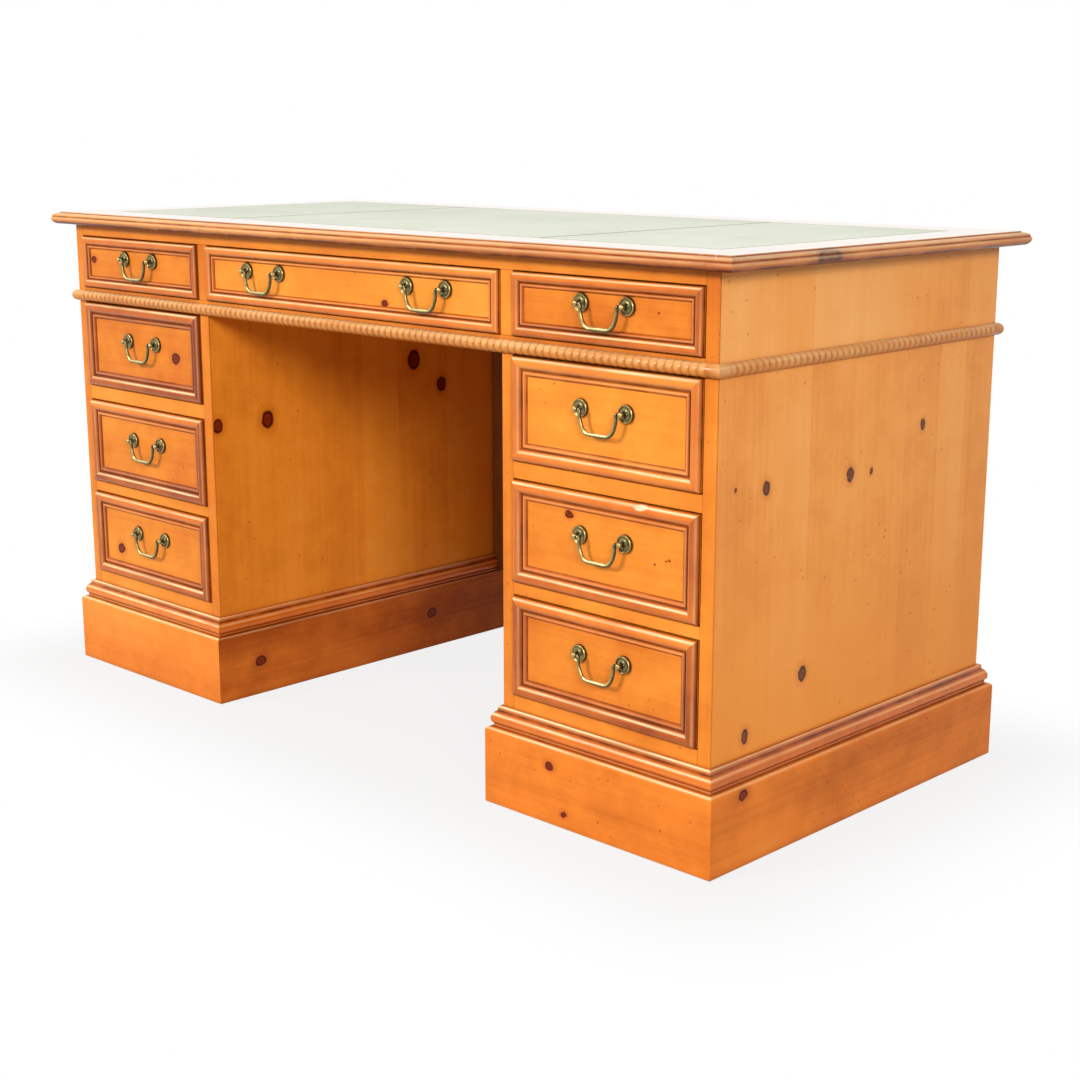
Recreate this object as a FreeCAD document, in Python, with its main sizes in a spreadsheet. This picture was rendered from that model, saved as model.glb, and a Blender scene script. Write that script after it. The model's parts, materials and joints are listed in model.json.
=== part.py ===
import FreeCAD, Part
import Sketcher
import math
import os

# Kneehole pedestal desk in pine: a leather-lined top on a frieze of three drawers, carried by two
# pedestals of three drawers each on moulded plinths. Origin on the floor under the middle of the
# desk, X to the right along the drawer side, Y to the back, Z up, millimetres.

SIZES = {
    # overall
    "desk_width": 1430,
    "desk_depth": 664,
    "desk_height": 762,
    # top
    "top_thickness": 19,
    "end_overhang": 36,
    "front_overhang": 24,
    "border_width": 82,
    "edge_inset": 11,
    "edge_step": 1.7,
    "edge_nose": 10,
    "edge_undercut": 6,
    "leather_thickness": 2,
    "leather_gap": 0.4,
    # frieze
    "frieze_height": 126,
    "frieze_rail": 23,
    "frieze_top_rail": 18.5,
    "divider_width": 22.5,
    "bead_radius": 9,
    # pedestals
    "pedestal_width": 358,
    "side_thickness": 20,
    "back_thickness": 12,
    "rail_depth": 60,
    "upper_rail": 23,
    "lower_rail": 17,
    "base_rail": 20,
    "base_rail_drop": 50,
    "bottom_thickness": 12,
    "runner_width": 20,
    "runner_height": 16,
    "modesty_thickness": 6,
    # plinths
    "plinth_height": 108,
    "plinth_projection": 18,
    "plinth_round": 5,
    "plinth_moulding_height": 29,
    "plinth_moulding_projection": 12.5,
    "corner_block": 40,
    # drawers
    "drawer_gap": 1.5,
    "front_thickness": 20,
    "moulding_width": 25,
    "frieze_moulding_width": 19,
    "moulding_projection": 8,
    "box_back_clearance": 24,
    "box_clearance": 2,
    "box_headroom": 12,
    "box_wall": 12,
    "box_floor": 6,
    "box_floor_raise": 8,
    "running_clearance": 0.3,
    # pulls
    "pull_centres": 76.2,
    "pull_projection": 12,
    "pull_margin": 18,
    "frieze_pull_margin": 0.2,
    "centre_pull_inset": 141,
    "rosette_radius": 12,
    "rosette_rim": 2,
    "rosette_dome": 5.4,
    "rosette_crown": 5.6,
    "post_neck_radius": 3.2,
    "post_head_radius": 4.8,
    "post_nose": 3.4,
    "post_bevel": 1.3,
    "pull_nut": 9,
    "pull_nut_height": 5,
    "bail_rod_radius": 2.6,
    "bail_pin_radius": 1.55,
    "bail_pin_clearance": 0.05,
    "bail_end_gap": 0.4,
    "bail_end_straight": 6,
    "bail_neck_radius": 9,
    "bail_neck_angle": 25,
    "bail_knuckle_radius": 14,
}

# Shapes of the moulding curves: rise of each arc over its own chord
QUARTER_ROUND = math.tan(math.radians(90) / 4) / 2
THUMBNAIL = 0.18
UNDER_NOSE = 0.13
COVE = -0.12
OVOLO = 0.2
ROLL = 0.2

FRONT, RIGHT, BACK, LEFT = "front", "right", "back", "left"
X_AXIS = FreeCAD.Vector(1, 0, 0)
Y_AXIS = FreeCAD.Vector(0, 1, 0)
Z_AXIS = FreeCAD.Vector(0, 0, 1)
SKETCH = "Sketcher::SketchObject"
TRIM_MARGIN = 2
TOUCH = 1e-6
ROSETTE_SIDES = 8
BAR_SIDES = 8
BAIL_SIDES = 6
NUT_SIDES = 4
NECK_STEPS = 2
KNUCKLE_STEPS = 3

doc = FreeCAD.newDocument("pedestal_desk")
sheet = doc.addObject("Spreadsheet::Sheet", "Sizes")
for row, (alias, size) in enumerate(SIZES.items(), start=1):
    sheet.set(f"A{row}", alias)
    sheet.set(f"B{row}", str(size))
    sheet.setAlias(f"B{row}", alias)
doc.recompute()

# Levels and planes worked out from the sheet, as expressions
CARCASS_X = "(Sizes.desk_width / 2 - Sizes.end_overhang)"
CARCASS_Y = "(Sizes.desk_depth / 2 - Sizes.front_overhang)"
BACK_INNER_Y = f"({CARCASS_Y} - Sizes.back_thickness)"
RAIL_BACK_Y = f"(-{CARCASS_Y} + Sizes.rail_depth)"
FRONT_BACK_Y = f"(-{CARCASS_Y} + Sizes.front_thickness)"
BOX_BACK_Y = f"({BACK_INNER_Y} - Sizes.box_back_clearance)"
TOP_UNDER_Z = "(Sizes.desk_height - Sizes.top_thickness)"
FRIEZE_Z = f"({TOP_UNDER_Z} - Sizes.frieze_height)"
FRIEZE_RAIL_Z = f"({FRIEZE_Z} + Sizes.frieze_rail)"
TOP_RAIL_Z = f"({TOP_UNDER_Z} - Sizes.frieze_top_rail)"
OPENING_IN_X = f"({CARCASS_X} - Sizes.pedestal_width + Sizes.side_thickness)"
OPENING_OUT_X = f"({CARCASS_X} - Sizes.side_thickness)"
KNEEHOLE_X = f"({CARCASS_X} - Sizes.pedestal_width)"
DIVIDER_X = f"({OPENING_IN_X} - Sizes.divider_width)"
LOWER_SILL_Z = "(Sizes.plinth_height + Sizes.plinth_moulding_height + Sizes.base_rail)"
DRAWER_HIGH = f"(({FRIEZE_Z} - {LOWER_SILL_Z} - Sizes.lower_rail - Sizes.upper_rail) / 3)"
LOWER_RAIL_Z = f"({LOWER_SILL_Z} + {DRAWER_HIGH})"
MIDDLE_SILL_Z = f"({LOWER_RAIL_Z} + Sizes.lower_rail)"
UPPER_RAIL_Z = f"({MIDDLE_SILL_Z} + {DRAWER_HIGH})"
UPPER_SILL_Z = f"({UPPER_RAIL_Z} + Sizes.upper_rail)"
BOTTOM_Z = f"({LOWER_SILL_Z} - Sizes.runner_height)"

nodes = []


def number(expression):
    """Value of a sheet expression in millimetres or degrees."""
    result = sheet.evalExpression(expression)
    return float(getattr(result, "Value", result))


def minus(expression):
    return f"(-1 * {expression})"


def mirrored(side, near, far):
    """A span from near to far of the middle plane, on the right (1) or the left (-1)."""
    return (near, far) if side > 0 else (minus(far), minus(near))


def place(item, position, rotation=None):
    """Turns an object, then binds its position to expressions."""
    if rotation:
        item.Placement = FreeCAD.Placement(FreeCAD.Vector(), rotation)
    for axis, expression in zip("xyz", position):
        item.setExpression(f"Placement.Base.{axis}", expression)
    return item


def board(name, x_span, y_span, z_span):
    """A rectangular board between three pairs of expressions."""
    box = doc.addObject("Part::Box", name)
    for side, (low, high) in zip(("Length", "Width", "Height"), (x_span, y_span, z_span)):
        box.setExpression(side, f"{high} - {low}")
    return place(box, (x_span[0], y_span[0], z_span[0]))


def node(label, *pieces):
    """Names one sub-part: a single piece, or a group of separate pieces."""
    item = pieces[0]
    if len(pieces) > 1:
        item = doc.addObject("Part::Compound", "group")
        item.Links = list(pieces)
    item.Label = label
    nodes.append(item)


def arc_through(start, end, rise):
    """Circular arc that bulges to the right of the line from start to end by rise times its length."""
    along = end - start
    outward = FreeCAD.Vector(along.y, -along.x, 0)
    return Part.Arc(start, (start + end) * 0.5 + outward * rise, end)


def draw_outline(sketch, corners, arcs=None, closed=True):
    """Draws and dimensions an outline through corners given as pairs of expressions.

    arcs maps the number of a side to the rise of its arc over its chord.
    """
    arcs = arcs or {}
    points = [FreeCAD.Vector(number(across), number(up), 0) for across, up in corners]
    count = len(points)
    for side in range(count if closed else count - 1):
        start, end = points[side], points[(side + 1) % count]
        curve = arc_through(start, end, arcs[side]) if side in arcs else Part.LineSegment(start, end)
        sketch.addGeometry(curve, False)
    # A drawn arc runs counter-clockwise, so one that bulges to the left is stored end first.
    first = {side: 2 if arcs.get(side, 0) < 0 else 1 for side in range(sketch.GeometryCount)}
    last = {side: 3 - first[side] for side in first}
    for side in range(1, sketch.GeometryCount):
        sketch.addConstraint(Sketcher.Constraint("Coincident", side - 1, last[side - 1], side, first[side]))
    if closed:
        end_side = count - 1
        sketch.addConstraint(Sketcher.Constraint("Coincident", end_side, last[end_side], 0, first[0]))
    for index, (corner, point) in enumerate(zip(corners, points)):
        at_end = index == sketch.GeometryCount
        side = index - 1 if at_end else index
        which = last[side] if at_end else first[side]
        for kind, expression, value in zip(("DistanceX", "DistanceY"), corner, (point.x, point.y)):
            fixed = sketch.addConstraint(Sketcher.Constraint(kind, side, which, value))
            sketch.setExpression(f"Constraints[{fixed}]", expression)
    for side, rise in arcs.items():
        (x_start, y_start), (x_end, y_end) = corners[side], corners[(side + 1) % count]
        chord = f"sqrt(({x_end} - {x_start}) ^ 2 + ({y_end} - {y_start}) ^ 2)"
        radius = f"{chord} * {1 / (8 * abs(rise)) + abs(rise) / 2}"
        fixed = sketch.addConstraint(Sketcher.Constraint("Radius", side, number(radius)))
        sketch.setExpression(f"Constraints[{fixed}]", radius)
    return sketch


def profile(name, corners, arcs):
    """Moulding section: its first coordinate is the mitred one, its second stands square to it."""
    sketch = doc.addObject(SKETCH, name)
    turn = FreeCAD.Rotation(FreeCAD.Vector(1, 1, 1), 120)
    sketch.Placement = FreeCAD.Placement(FreeCAD.Vector(), turn)
    return draw_outline(sketch, corners, arcs)


def mitred_strip(name, section, length, width, height, splay):
    """Length of moulding with its ends mitred: splay 1 widens away from the reference edge, -1 narrows."""
    bar = doc.addObject("Part::Extrusion", f"{name}_bar")
    bar.Base = section
    bar.DirMode = "Custom"
    bar.Dir = X_AXIS
    bar.Solid = True
    bar.Symmetric = True
    bar.setExpression("LengthFwd", f"{length} + 2 * {width}")
    mitre = doc.addObject("Part::Wedge", f"{name}_mitre")
    near = f"({length} / 2 - {splay} * {TRIM_MARGIN})"
    far = f"({length} / 2 + {splay} * ({width} + {TRIM_MARGIN}))"
    limits = {"Ymin": f"-{TRIM_MARGIN}", "Ymax": f"{width} + {TRIM_MARGIN}"}
    limits.update({"Xmin": minus(near), "Xmax": near, "X2min": minus(far), "X2max": far})
    limits.update({low: f"-{TRIM_MARGIN}" for low in ("Zmin", "Z2min")})
    limits.update({high: f"{height} + {TRIM_MARGIN}" for high in ("Zmax", "Z2max")})
    for limit, expression in limits.items():
        mitre.setExpression(limit, expression)
    strip = doc.addObject("Part::Common", name)
    strip.Base = bar
    strip.Tool = mitre
    return strip


def ring_in_plan(name, section, x_span, y_span, z_level, width, height, splay):
    """Four mitred lengths round a rectangle seen from above, outside it (splay 1) or inside it (-1)."""
    (x_low, x_high), (y_low, y_high) = x_span, y_span
    x_mid = f"(({x_low} + {x_high}) / 2)"
    y_mid = f"(({y_low} + {y_high}) / 2)"
    x_length = f"({x_high} - {x_low})"
    y_length = f"({y_high} - {y_low})"
    runs = {
        FRONT: (x_length, (x_mid, y_low), 180),
        RIGHT: (y_length, (x_high, y_mid), 270),
        BACK: (x_length, (x_mid, y_high), 0),
        LEFT: (y_length, (x_low, y_mid), 90),
    }
    strips = []
    for run, (length, (x, y), angle) in runs.items():
        strip = mitred_strip(f"{name}_{run}", section, length, width, height, splay)
        facing = FreeCAD.Rotation(Z_AXIS, angle if splay > 0 else angle + 180)
        strips.append(place(strip, (x, y, z_level), facing))
    return strips


def ring_on_front(name, section, x_span, z_span, y_level, width, height):
    """Four mitred lengths round the inside of a rectangle on a face that looks to the front."""
    (x_low, x_high), (z_low, z_high) = x_span, z_span
    x_mid = f"(({x_low} + {x_high}) / 2)"
    z_mid = f"(({z_low} + {z_high}) / 2)"
    x_length = f"({x_high} - {x_low})"
    z_length = f"({z_high} - {z_low})"
    runs = {
        "lower": (x_length, (x_mid, z_low), 0),
        RIGHT: (z_length, (x_high, z_mid), 90),
        "upper": (x_length, (x_mid, z_high), 180),
        LEFT: (z_length, (x_low, z_mid), 270),
    }
    upright = FreeCAD.Rotation(X_AXIS, 90)
    strips = []
    for run, (length, (x, z), angle) in runs.items():
        strip = mitred_strip(f"{name}_{run}", section, length, width, height, -1)
        facing = FreeCAD.Rotation(Y_AXIS * -1, angle) * upright
        strips.append(place(strip, (x, y_level, z), facing))
    return strips


# Moulding sections
TOP_EDGE = profile(
    "top_edge_section",
    [
        ("Sizes.edge_undercut", "0"),
        ("Sizes.border_width", "0"),
        ("Sizes.border_width", "Sizes.top_thickness"),
        ("Sizes.edge_inset", "Sizes.top_thickness"),
        ("Sizes.edge_inset", "(Sizes.top_thickness - Sizes.edge_step)"),
        ("0", "Sizes.edge_nose"),
    ],
    {4: THUMBNAIL, 5: UNDER_NOSE},
)
BEAD = profile(
    "bead_section",
    [("0", "0"), ("Sizes.bead_radius", "Sizes.bead_radius"), ("0", "(2 * Sizes.bead_radius)")],
    {0: QUARTER_ROUND, 1: QUARTER_ROUND},
)
PLINTH_BOARD = profile(
    "plinth_section",
    [
        ("0", "0"),
        ("Sizes.plinth_projection", "0"),
        ("Sizes.plinth_projection", "(Sizes.plinth_height - Sizes.plinth_round)"),
        ("(Sizes.plinth_projection - Sizes.plinth_round)", "Sizes.plinth_height"),
        ("0", "Sizes.plinth_height"),
    ],
    {2: QUARTER_ROUND},
)
moulding_high = "Sizes.plinth_moulding_height"
moulding_deep = "Sizes.plinth_moulding_projection"
PLINTH_MOULDING = profile(
    "plinth_moulding_section",
    [
        ("0", "0"),
        (f"({moulding_deep} * 0.76)", "0"),
        (f"({moulding_deep} * 0.76)", f"({moulding_high} * 0.19)"),
        (moulding_deep, f"({moulding_high} * 0.36)"),
        (f"({moulding_deep} * 0.56)", f"({moulding_high} * 0.8)"),
        (f"({moulding_deep} * 0.44)", f"({moulding_high} * 0.8)"),
        (f"({moulding_deep} * 0.44)", moulding_high),
        ("0", moulding_high),
    ],
    {2: COVE, 3: OVOLO},
)


def drawer_moulding(name, wide, proud):
    """Section of a drawer's planted moulding: a broad roll, a quirk and a small bead."""
    return profile(
        name,
        [
            ("0", "0"),
            (wide, "0"),
            (wide, f"({proud} * 0.12)"),
            (f"({wide} * 0.83)", f"({proud} * 0.48)"),
            (f"({wide} * 0.71)", f"({proud} * 0.16)"),
            (f"({wide} * 0.64)", f"({proud} * 0.6)"),
            ("0", f"({proud} * 0.6)"),
        ],
        {5: ROLL},
    )


frame_proud = "Sizes.moulding_projection"
PEDESTAL_FRAME = {
    "wide": "Sizes.moulding_width",
    "section": drawer_moulding("drawer_moulding_section", "Sizes.moulding_width", frame_proud),
    "margin": "Sizes.pull_margin",
}
FRIEZE_FRAME = {
    "wide": "Sizes.frieze_moulding_width",
    "section": drawer_moulding("frieze_moulding_section", "Sizes.frieze_moulding_width", frame_proud),
    "margin": "Sizes.frieze_pull_margin",
}


def build_top():
    half_x = "(Sizes.desk_width / 2)"
    half_y = "(Sizes.desk_depth / 2)"
    inner_x = f"({half_x} - Sizes.border_width)"
    inner_y = f"({half_y} - Sizes.border_width)"
    border = ring_in_plan(
        "top_border", TOP_EDGE, (minus(half_x), half_x), (minus(half_y), half_y), TOP_UNDER_Z,
        "Sizes.border_width", "Sizes.top_thickness", -1,
    )
    node("top_border", *border)
    leather_z = "(Sizes.desk_height - Sizes.leather_thickness)"
    y_span = (minus(inner_y), inner_y)
    node("top_panel", board("top_panel", (minus(inner_x), inner_x), y_span, (TOP_UNDER_Z, leather_z)))
    seam = f"(({DIVIDER_X} + {OPENING_IN_X}) / 2)"
    gap = "Sizes.leather_gap"
    hide_y = (f"({minus(inner_y)} + {gap})", f"({inner_y} - {gap})")
    hide_z = (leather_z, "Sizes.desk_height")
    spans = [
        (f"({minus(inner_x)} + {gap})", f"({minus(seam)} - {gap} / 2)"),
        (f"({minus(seam)} + {gap} / 2)", f"({seam} - {gap} / 2)"),
        (f"({seam} + {gap} / 2)", f"({inner_x} - {gap})"),
    ]
    node("leather_panels", *[board("leather_panel", span, hide_y, hide_z) for span in spans])


def build_frieze():
    full_z = (FRIEZE_Z, TOP_UNDER_Z)
    full_y = (minus(CARCASS_Y), CARCASS_Y)
    ends = [board("frieze_end", mirrored(side, OPENING_OUT_X, CARCASS_X), full_y, full_z) for side in (-1, 1)]
    node("frieze_ends", *ends)
    between_ends = (minus(OPENING_OUT_X), OPENING_OUT_X)
    node("frieze_back", board("frieze_back", between_ends, (BACK_INNER_Y, CARCASS_Y), full_z))
    rail_y = (minus(CARCASS_Y), RAIL_BACK_Y)
    node(
        "frieze_rails",
        board("frieze_lower_rail", between_ends, rail_y, (FRIEZE_Z, FRIEZE_RAIL_Z)),
        board("frieze_upper_rail", between_ends, rail_y, (TOP_RAIL_Z, TOP_UNDER_Z)),
    )
    divider_y = (minus(CARCASS_Y), BACK_INNER_Y)
    divider_z = (FRIEZE_RAIL_Z, TOP_RAIL_Z)
    node(
        "frieze_dividers",
        *[board("divider", mirrored(side, DIVIDER_X, OPENING_IN_X), divider_y, divider_z) for side in (-1, 1)],
    )
    runner_y = (RAIL_BACK_Y, BACK_INNER_Y)
    strips = []
    for side in (-1, 1):
        under_divider = mirrored(
            side, f"({DIVIDER_X} - Sizes.runner_width)", f"({OPENING_IN_X} + Sizes.runner_width)"
        )
        at_end = mirrored(side, f"({OPENING_OUT_X} - Sizes.runner_width)", OPENING_OUT_X)
        for x_span in (under_divider, at_end):
            strips.append(board("frieze_runner", x_span, runner_y, (FRIEZE_Z, FRIEZE_RAIL_Z)))
            strips.append(board("frieze_kicker", x_span, runner_y, (TOP_RAIL_Z, TOP_UNDER_Z)))
    node("frieze_runners_and_kickers", *strips)
    bead = ring_in_plan(
        "waist_bead", BEAD, (minus(CARCASS_X), CARCASS_X), full_y, FRIEZE_Z,
        "Sizes.bead_radius", "(2 * Sizes.bead_radius)", 1,
    )
    node("waist_bead", *bead)


def build_pedestals():
    full_y = (minus(CARCASS_Y), CARCASS_Y)
    backs, bottoms, runners, mouldings, blocks = [], [], [], [], []
    for side, hand in ((-1, LEFT), (1, RIGHT)):
        opening_x = mirrored(side, OPENING_IN_X, OPENING_OUT_X)
        outer_x = mirrored(side, OPENING_OUT_X, CARCASS_X)
        inner_x = mirrored(side, KNEEHOLE_X, OPENING_IN_X)
        node(f"{hand}_pedestal_outer_side", board("outer_side", outer_x, full_y, ("0", FRIEZE_Z)))
        node(f"{hand}_pedestal_inner_side", board("inner_side", inner_x, full_y, ("0", FRIEZE_Z)))
        backs.append(board("pedestal_back", opening_x, (BACK_INNER_Y, CARCASS_Y), ("0", FRIEZE_Z)))
        rail_y = (minus(CARCASS_Y), RAIL_BACK_Y)
        rail_levels = [
            (UPPER_RAIL_Z, UPPER_SILL_Z),
            (LOWER_RAIL_Z, MIDDLE_SILL_Z),
            (f"({LOWER_SILL_Z} - Sizes.base_rail_drop)", LOWER_SILL_Z),
        ]
        node(f"{hand}_pedestal_rails", *[board("rail", opening_x, rail_y, level) for level in rail_levels])
        behind_rail_y = (RAIL_BACK_Y, BACK_INNER_Y)
        bottom_z = (f"({BOTTOM_Z} - Sizes.bottom_thickness)", BOTTOM_Z)
        bottoms.append(board("pedestal_bottom", opening_x, behind_rail_y, bottom_z))
        inner_runner_x = mirrored(side, OPENING_IN_X, f"({OPENING_IN_X} + Sizes.runner_width)")
        outer_runner_x = mirrored(side, f"({OPENING_OUT_X} - Sizes.runner_width)", OPENING_OUT_X)
        for sill in (UPPER_SILL_Z, MIDDLE_SILL_Z, LOWER_SILL_Z):
            for runner_x in (inner_runner_x, outer_runner_x):
                runners.append(board("runner", runner_x, behind_rail_y, (f"({sill} - Sizes.runner_height)", sill)))
        pedestal_x = mirrored(side, KNEEHOLE_X, CARCASS_X)
        plinth = ring_in_plan(
            f"{hand}_plinth", PLINTH_BOARD, pedestal_x, full_y, "0",
            "Sizes.plinth_projection", "Sizes.plinth_height", 1,
        )
        node(f"{hand}_plinth", *plinth)
        mouldings += ring_in_plan(
            f"{hand}_plinth_moulding", PLINTH_MOULDING, pedestal_x, full_y, "Sizes.plinth_height",
            moulding_deep, moulding_high, 1,
        )
        blocks += corner_blocks(opening_x, (minus(CARCASS_Y), BACK_INNER_Y))
    node("pedestal_backs", *backs)
    node("pedestal_bottoms", *bottoms)
    node("pedestal_drawer_runners", *runners)
    node("plinth_mouldings", *mouldings)
    node("plinth_corner_blocks", *blocks)
    modesty_y = (f"({CARCASS_Y} - Sizes.modesty_thickness)", CARCASS_Y)
    modesty_z = (f"(Sizes.plinth_height + {moulding_high})", FRIEZE_Z)
    node("modesty_panel", board("modesty_panel", (minus(KNEEHOLE_X), KNEEHOLE_X), modesty_y, modesty_z))


def corner_blocks(x_span, y_span):
    """Three-cornered glue blocks standing in the angles behind a plinth."""
    blocks = []
    corners = [
        (x_span[0], y_span[0], 0),
        (x_span[1], y_span[0], 90),
        (x_span[1], y_span[1], 180),
        (x_span[0], y_span[1], 270),
    ]
    for x, y, angle in corners:
        block = doc.addObject("Part::Wedge", "corner_block")
        limits = {"Xmin": "0", "Ymin": "0", "Zmin": "0", "X2min": "0", "X2max": "0", "Z2min": "0"}
        limits.update({"Xmax": "Sizes.corner_block", "Ymax": "Sizes.corner_block"})
        limits.update({high: "Sizes.plinth_height - Sizes.plinth_round" for high in ("Zmax", "Z2max")})
        for limit, expression in limits.items():
            block.setExpression(limit, expression)
        blocks.append(place(block, (x, y, "0"), FreeCAD.Rotation(Z_AXIS, angle)))
    return blocks


def on_plane(body, kind, name, role, offset="0"):
    """Sketch or primitive on one of a body's own planes, moved along the plane's normal by an expression."""
    item = body.newObject(kind, name)
    item.AttachmentSupport = [(next(plane for plane in body.Origin.OriginFeatures if plane.Role == role), "")]
    item.MapMode = "FlatFace"
    item.setExpression("AttachmentOffset.Base.z", offset)
    return item


def body_prism(body, kind, name, role, sides, radius, height, offset):
    """Regular prism on one of a body's own planes, added to it or taken from it."""
    prism = on_plane(body, f"PartDesign::{kind}Prism", name, role, offset)
    prism.Polygon = sides
    prism.setExpression("Circumradius", radius)
    prism.setExpression("Height", height)
    return prism


def body_bevel(body, name, raised, level, drop, reach):
    """Bevels the front edges of the last prism, which lie at a level out from the face."""
    doc.recompute()
    distance = number(level)
    picked = []
    for count, edge in enumerate(raised.Shape.Edges, start=1):
        if all(abs(corner.Point.y + distance) < TOUCH for corner in edge.Vertexes):
            picked.append(f"Edge{count}")
    bevel = body.newObject("PartDesign::Chamfer", name)
    bevel.Base = (raised, picked)
    bevel.ChamferType = "Two distances"
    bevel.setExpression("Size", drop)
    bevel.setExpression("Size2", reach)
    return bevel


def pull_post(hand):
    """Rosette and post in one casting, with a blind hole on its inner side for the bail's pin."""
    body = doc.addObject("PartDesign::Body", f"pull_post_{hand}")
    dome = "Sizes.rosette_dome"
    rosette = body_prism(
        body, "Additive", "rosette", "XZ_Plane", ROSETTE_SIDES, "Sizes.rosette_radius", dome, "0"
    )
    body_bevel(
        body, "rosette_bevel", rosette, dome,
        f"{dome} - Sizes.rosette_rim", "Sizes.rosette_radius - Sizes.rosette_crown",
    )
    projection = "Sizes.pull_projection"
    head_start = f"({projection} - Sizes.post_nose)"
    head_end = f"({projection} + Sizes.post_nose)"
    neck = f"({head_start} - {dome})"
    body_prism(body, "Additive", "neck", "XZ_Plane", BAR_SIDES, "Sizes.post_neck_radius", neck, dome)
    head = body_prism(
        body, "Additive", "head", "XZ_Plane", BAR_SIDES,
        "Sizes.post_head_radius", "(2 * Sizes.post_nose)", head_start,
    )
    body_bevel(body, "head_bevel", head, head_end, "Sizes.post_bevel", "Sizes.post_bevel")
    across_flats = "(Sizes.bail_pin_radius + Sizes.bail_pin_clearance)"
    hole_start = "0" if hand == LEFT else minus("Sizes.post_head_radius")
    hole = body_prism(
        body, "Subtractive", "pin_hole", "YZ_Plane", BAR_SIDES,
        f"{across_flats} / cos(180 / {BAR_SIDES})", "Sizes.post_head_radius", hole_start,
    )
    hole.setExpression("AttachmentOffset.Base.x", minus(projection))
    return body


def bend(centre, radius, start, turn, steps):
    """Points along a bend after its first one, at equal steps of the turn, as pairs of expressions."""
    points = []
    for step in range(1, steps + 1):
        angle = f"({start} + {turn} * {step} / {steps})"
        points.append((f"({centre[0]} + {radius} * cos({angle}))", f"({centre[1]} + {radius} * sin({angle}))"))
    return points


def pull_bail():
    """Swan-neck bail: a bar bent through two necks, with a pin across the top of each end."""
    body = doc.addObject("PartDesign::Body", "pull_bail")
    rod = "Sizes.bail_rod_radius"
    end_x = f"(Sizes.pull_centres / 2 - Sizes.post_head_radius - Sizes.bail_end_gap - {rod})"
    straight = "Sizes.bail_end_straight"
    neck = "Sizes.bail_neck_radius"
    knuckle = "Sizes.bail_knuckle_radius"
    sine = "sin(Sizes.bail_neck_angle)"
    cosine = "cos(Sizes.bail_neck_angle)"
    neck_turn = "Sizes.bail_neck_angle"
    neck_x = f"({end_x} + {neck} * (1 - {cosine}))"
    neck_z = f"(-1 * {straight} - {neck} * {sine})"
    knuckle_centre = (f"({neck_x} - {knuckle} * {cosine})", f"({neck_z} - {knuckle} * {sine})")
    half = [(end_x, rod), (end_x, minus(straight))]
    half += bend((f"({end_x} + {neck})", minus(straight)), neck, "180", neck_turn, NECK_STEPS)
    half += bend(knuckle_centre, knuckle, neck_turn, f"(-90 - {neck_turn})", KNUCKLE_STEPS)
    other_half = [(minus(x), z) for x, z in reversed(half)]
    path = draw_outline(on_plane(body, SKETCH, "bail_path", "XZ_Plane"), half + other_half, closed=False)
    corners = []
    for step in range(BAIL_SIDES):
        angle = math.radians(360 * (step + 0.5) / BAIL_SIDES)
        corners.append((f"({end_x} + {rod} * {math.cos(angle):.6f})", f"({rod} * {math.sin(angle):.6f})"))
    section = draw_outline(on_plane(body, SKETCH, "bail_section", "XY_Plane", rod), corners)
    bar = body.newObject("PartDesign::AdditivePipe", "bail_bar")
    bar.Profile = section
    bar.Spine = (path, [f"Edge{edge + 1}" for edge in range(path.GeometryCount)])
    bar.Transition = "Right corner"
    reach = f"(Sizes.pull_centres / 2 - Sizes.bail_end_gap / 2 - {end_x})"
    for start in (end_x, f"(-1 * {end_x} - {reach})"):
        pin = on_plane(body, "PartDesign::AdditiveCylinder", "bail_pin", "YZ_Plane", start)
        pin.setExpression("Radius", "Sizes.bail_pin_radius")
        pin.setExpression("Height", reach)
    return body


def pull_nut():
    nut = doc.addObject("Part::Prism", "pull_nut")
    nut.Polygon = NUT_SIDES
    nut.setExpression("Circumradius", "Sizes.pull_nut / 2")
    nut.setExpression("Height", "Sizes.pull_nut_height")
    return nut


def one_of(pattern, position, rotation=None):
    """One of the pieces made to the same pattern, set in its place."""
    piece = doc.addObject("Part::Compound", f"{pattern.Name}_set")
    piece.Links = [pattern]
    return place(piece, position, rotation)


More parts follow.
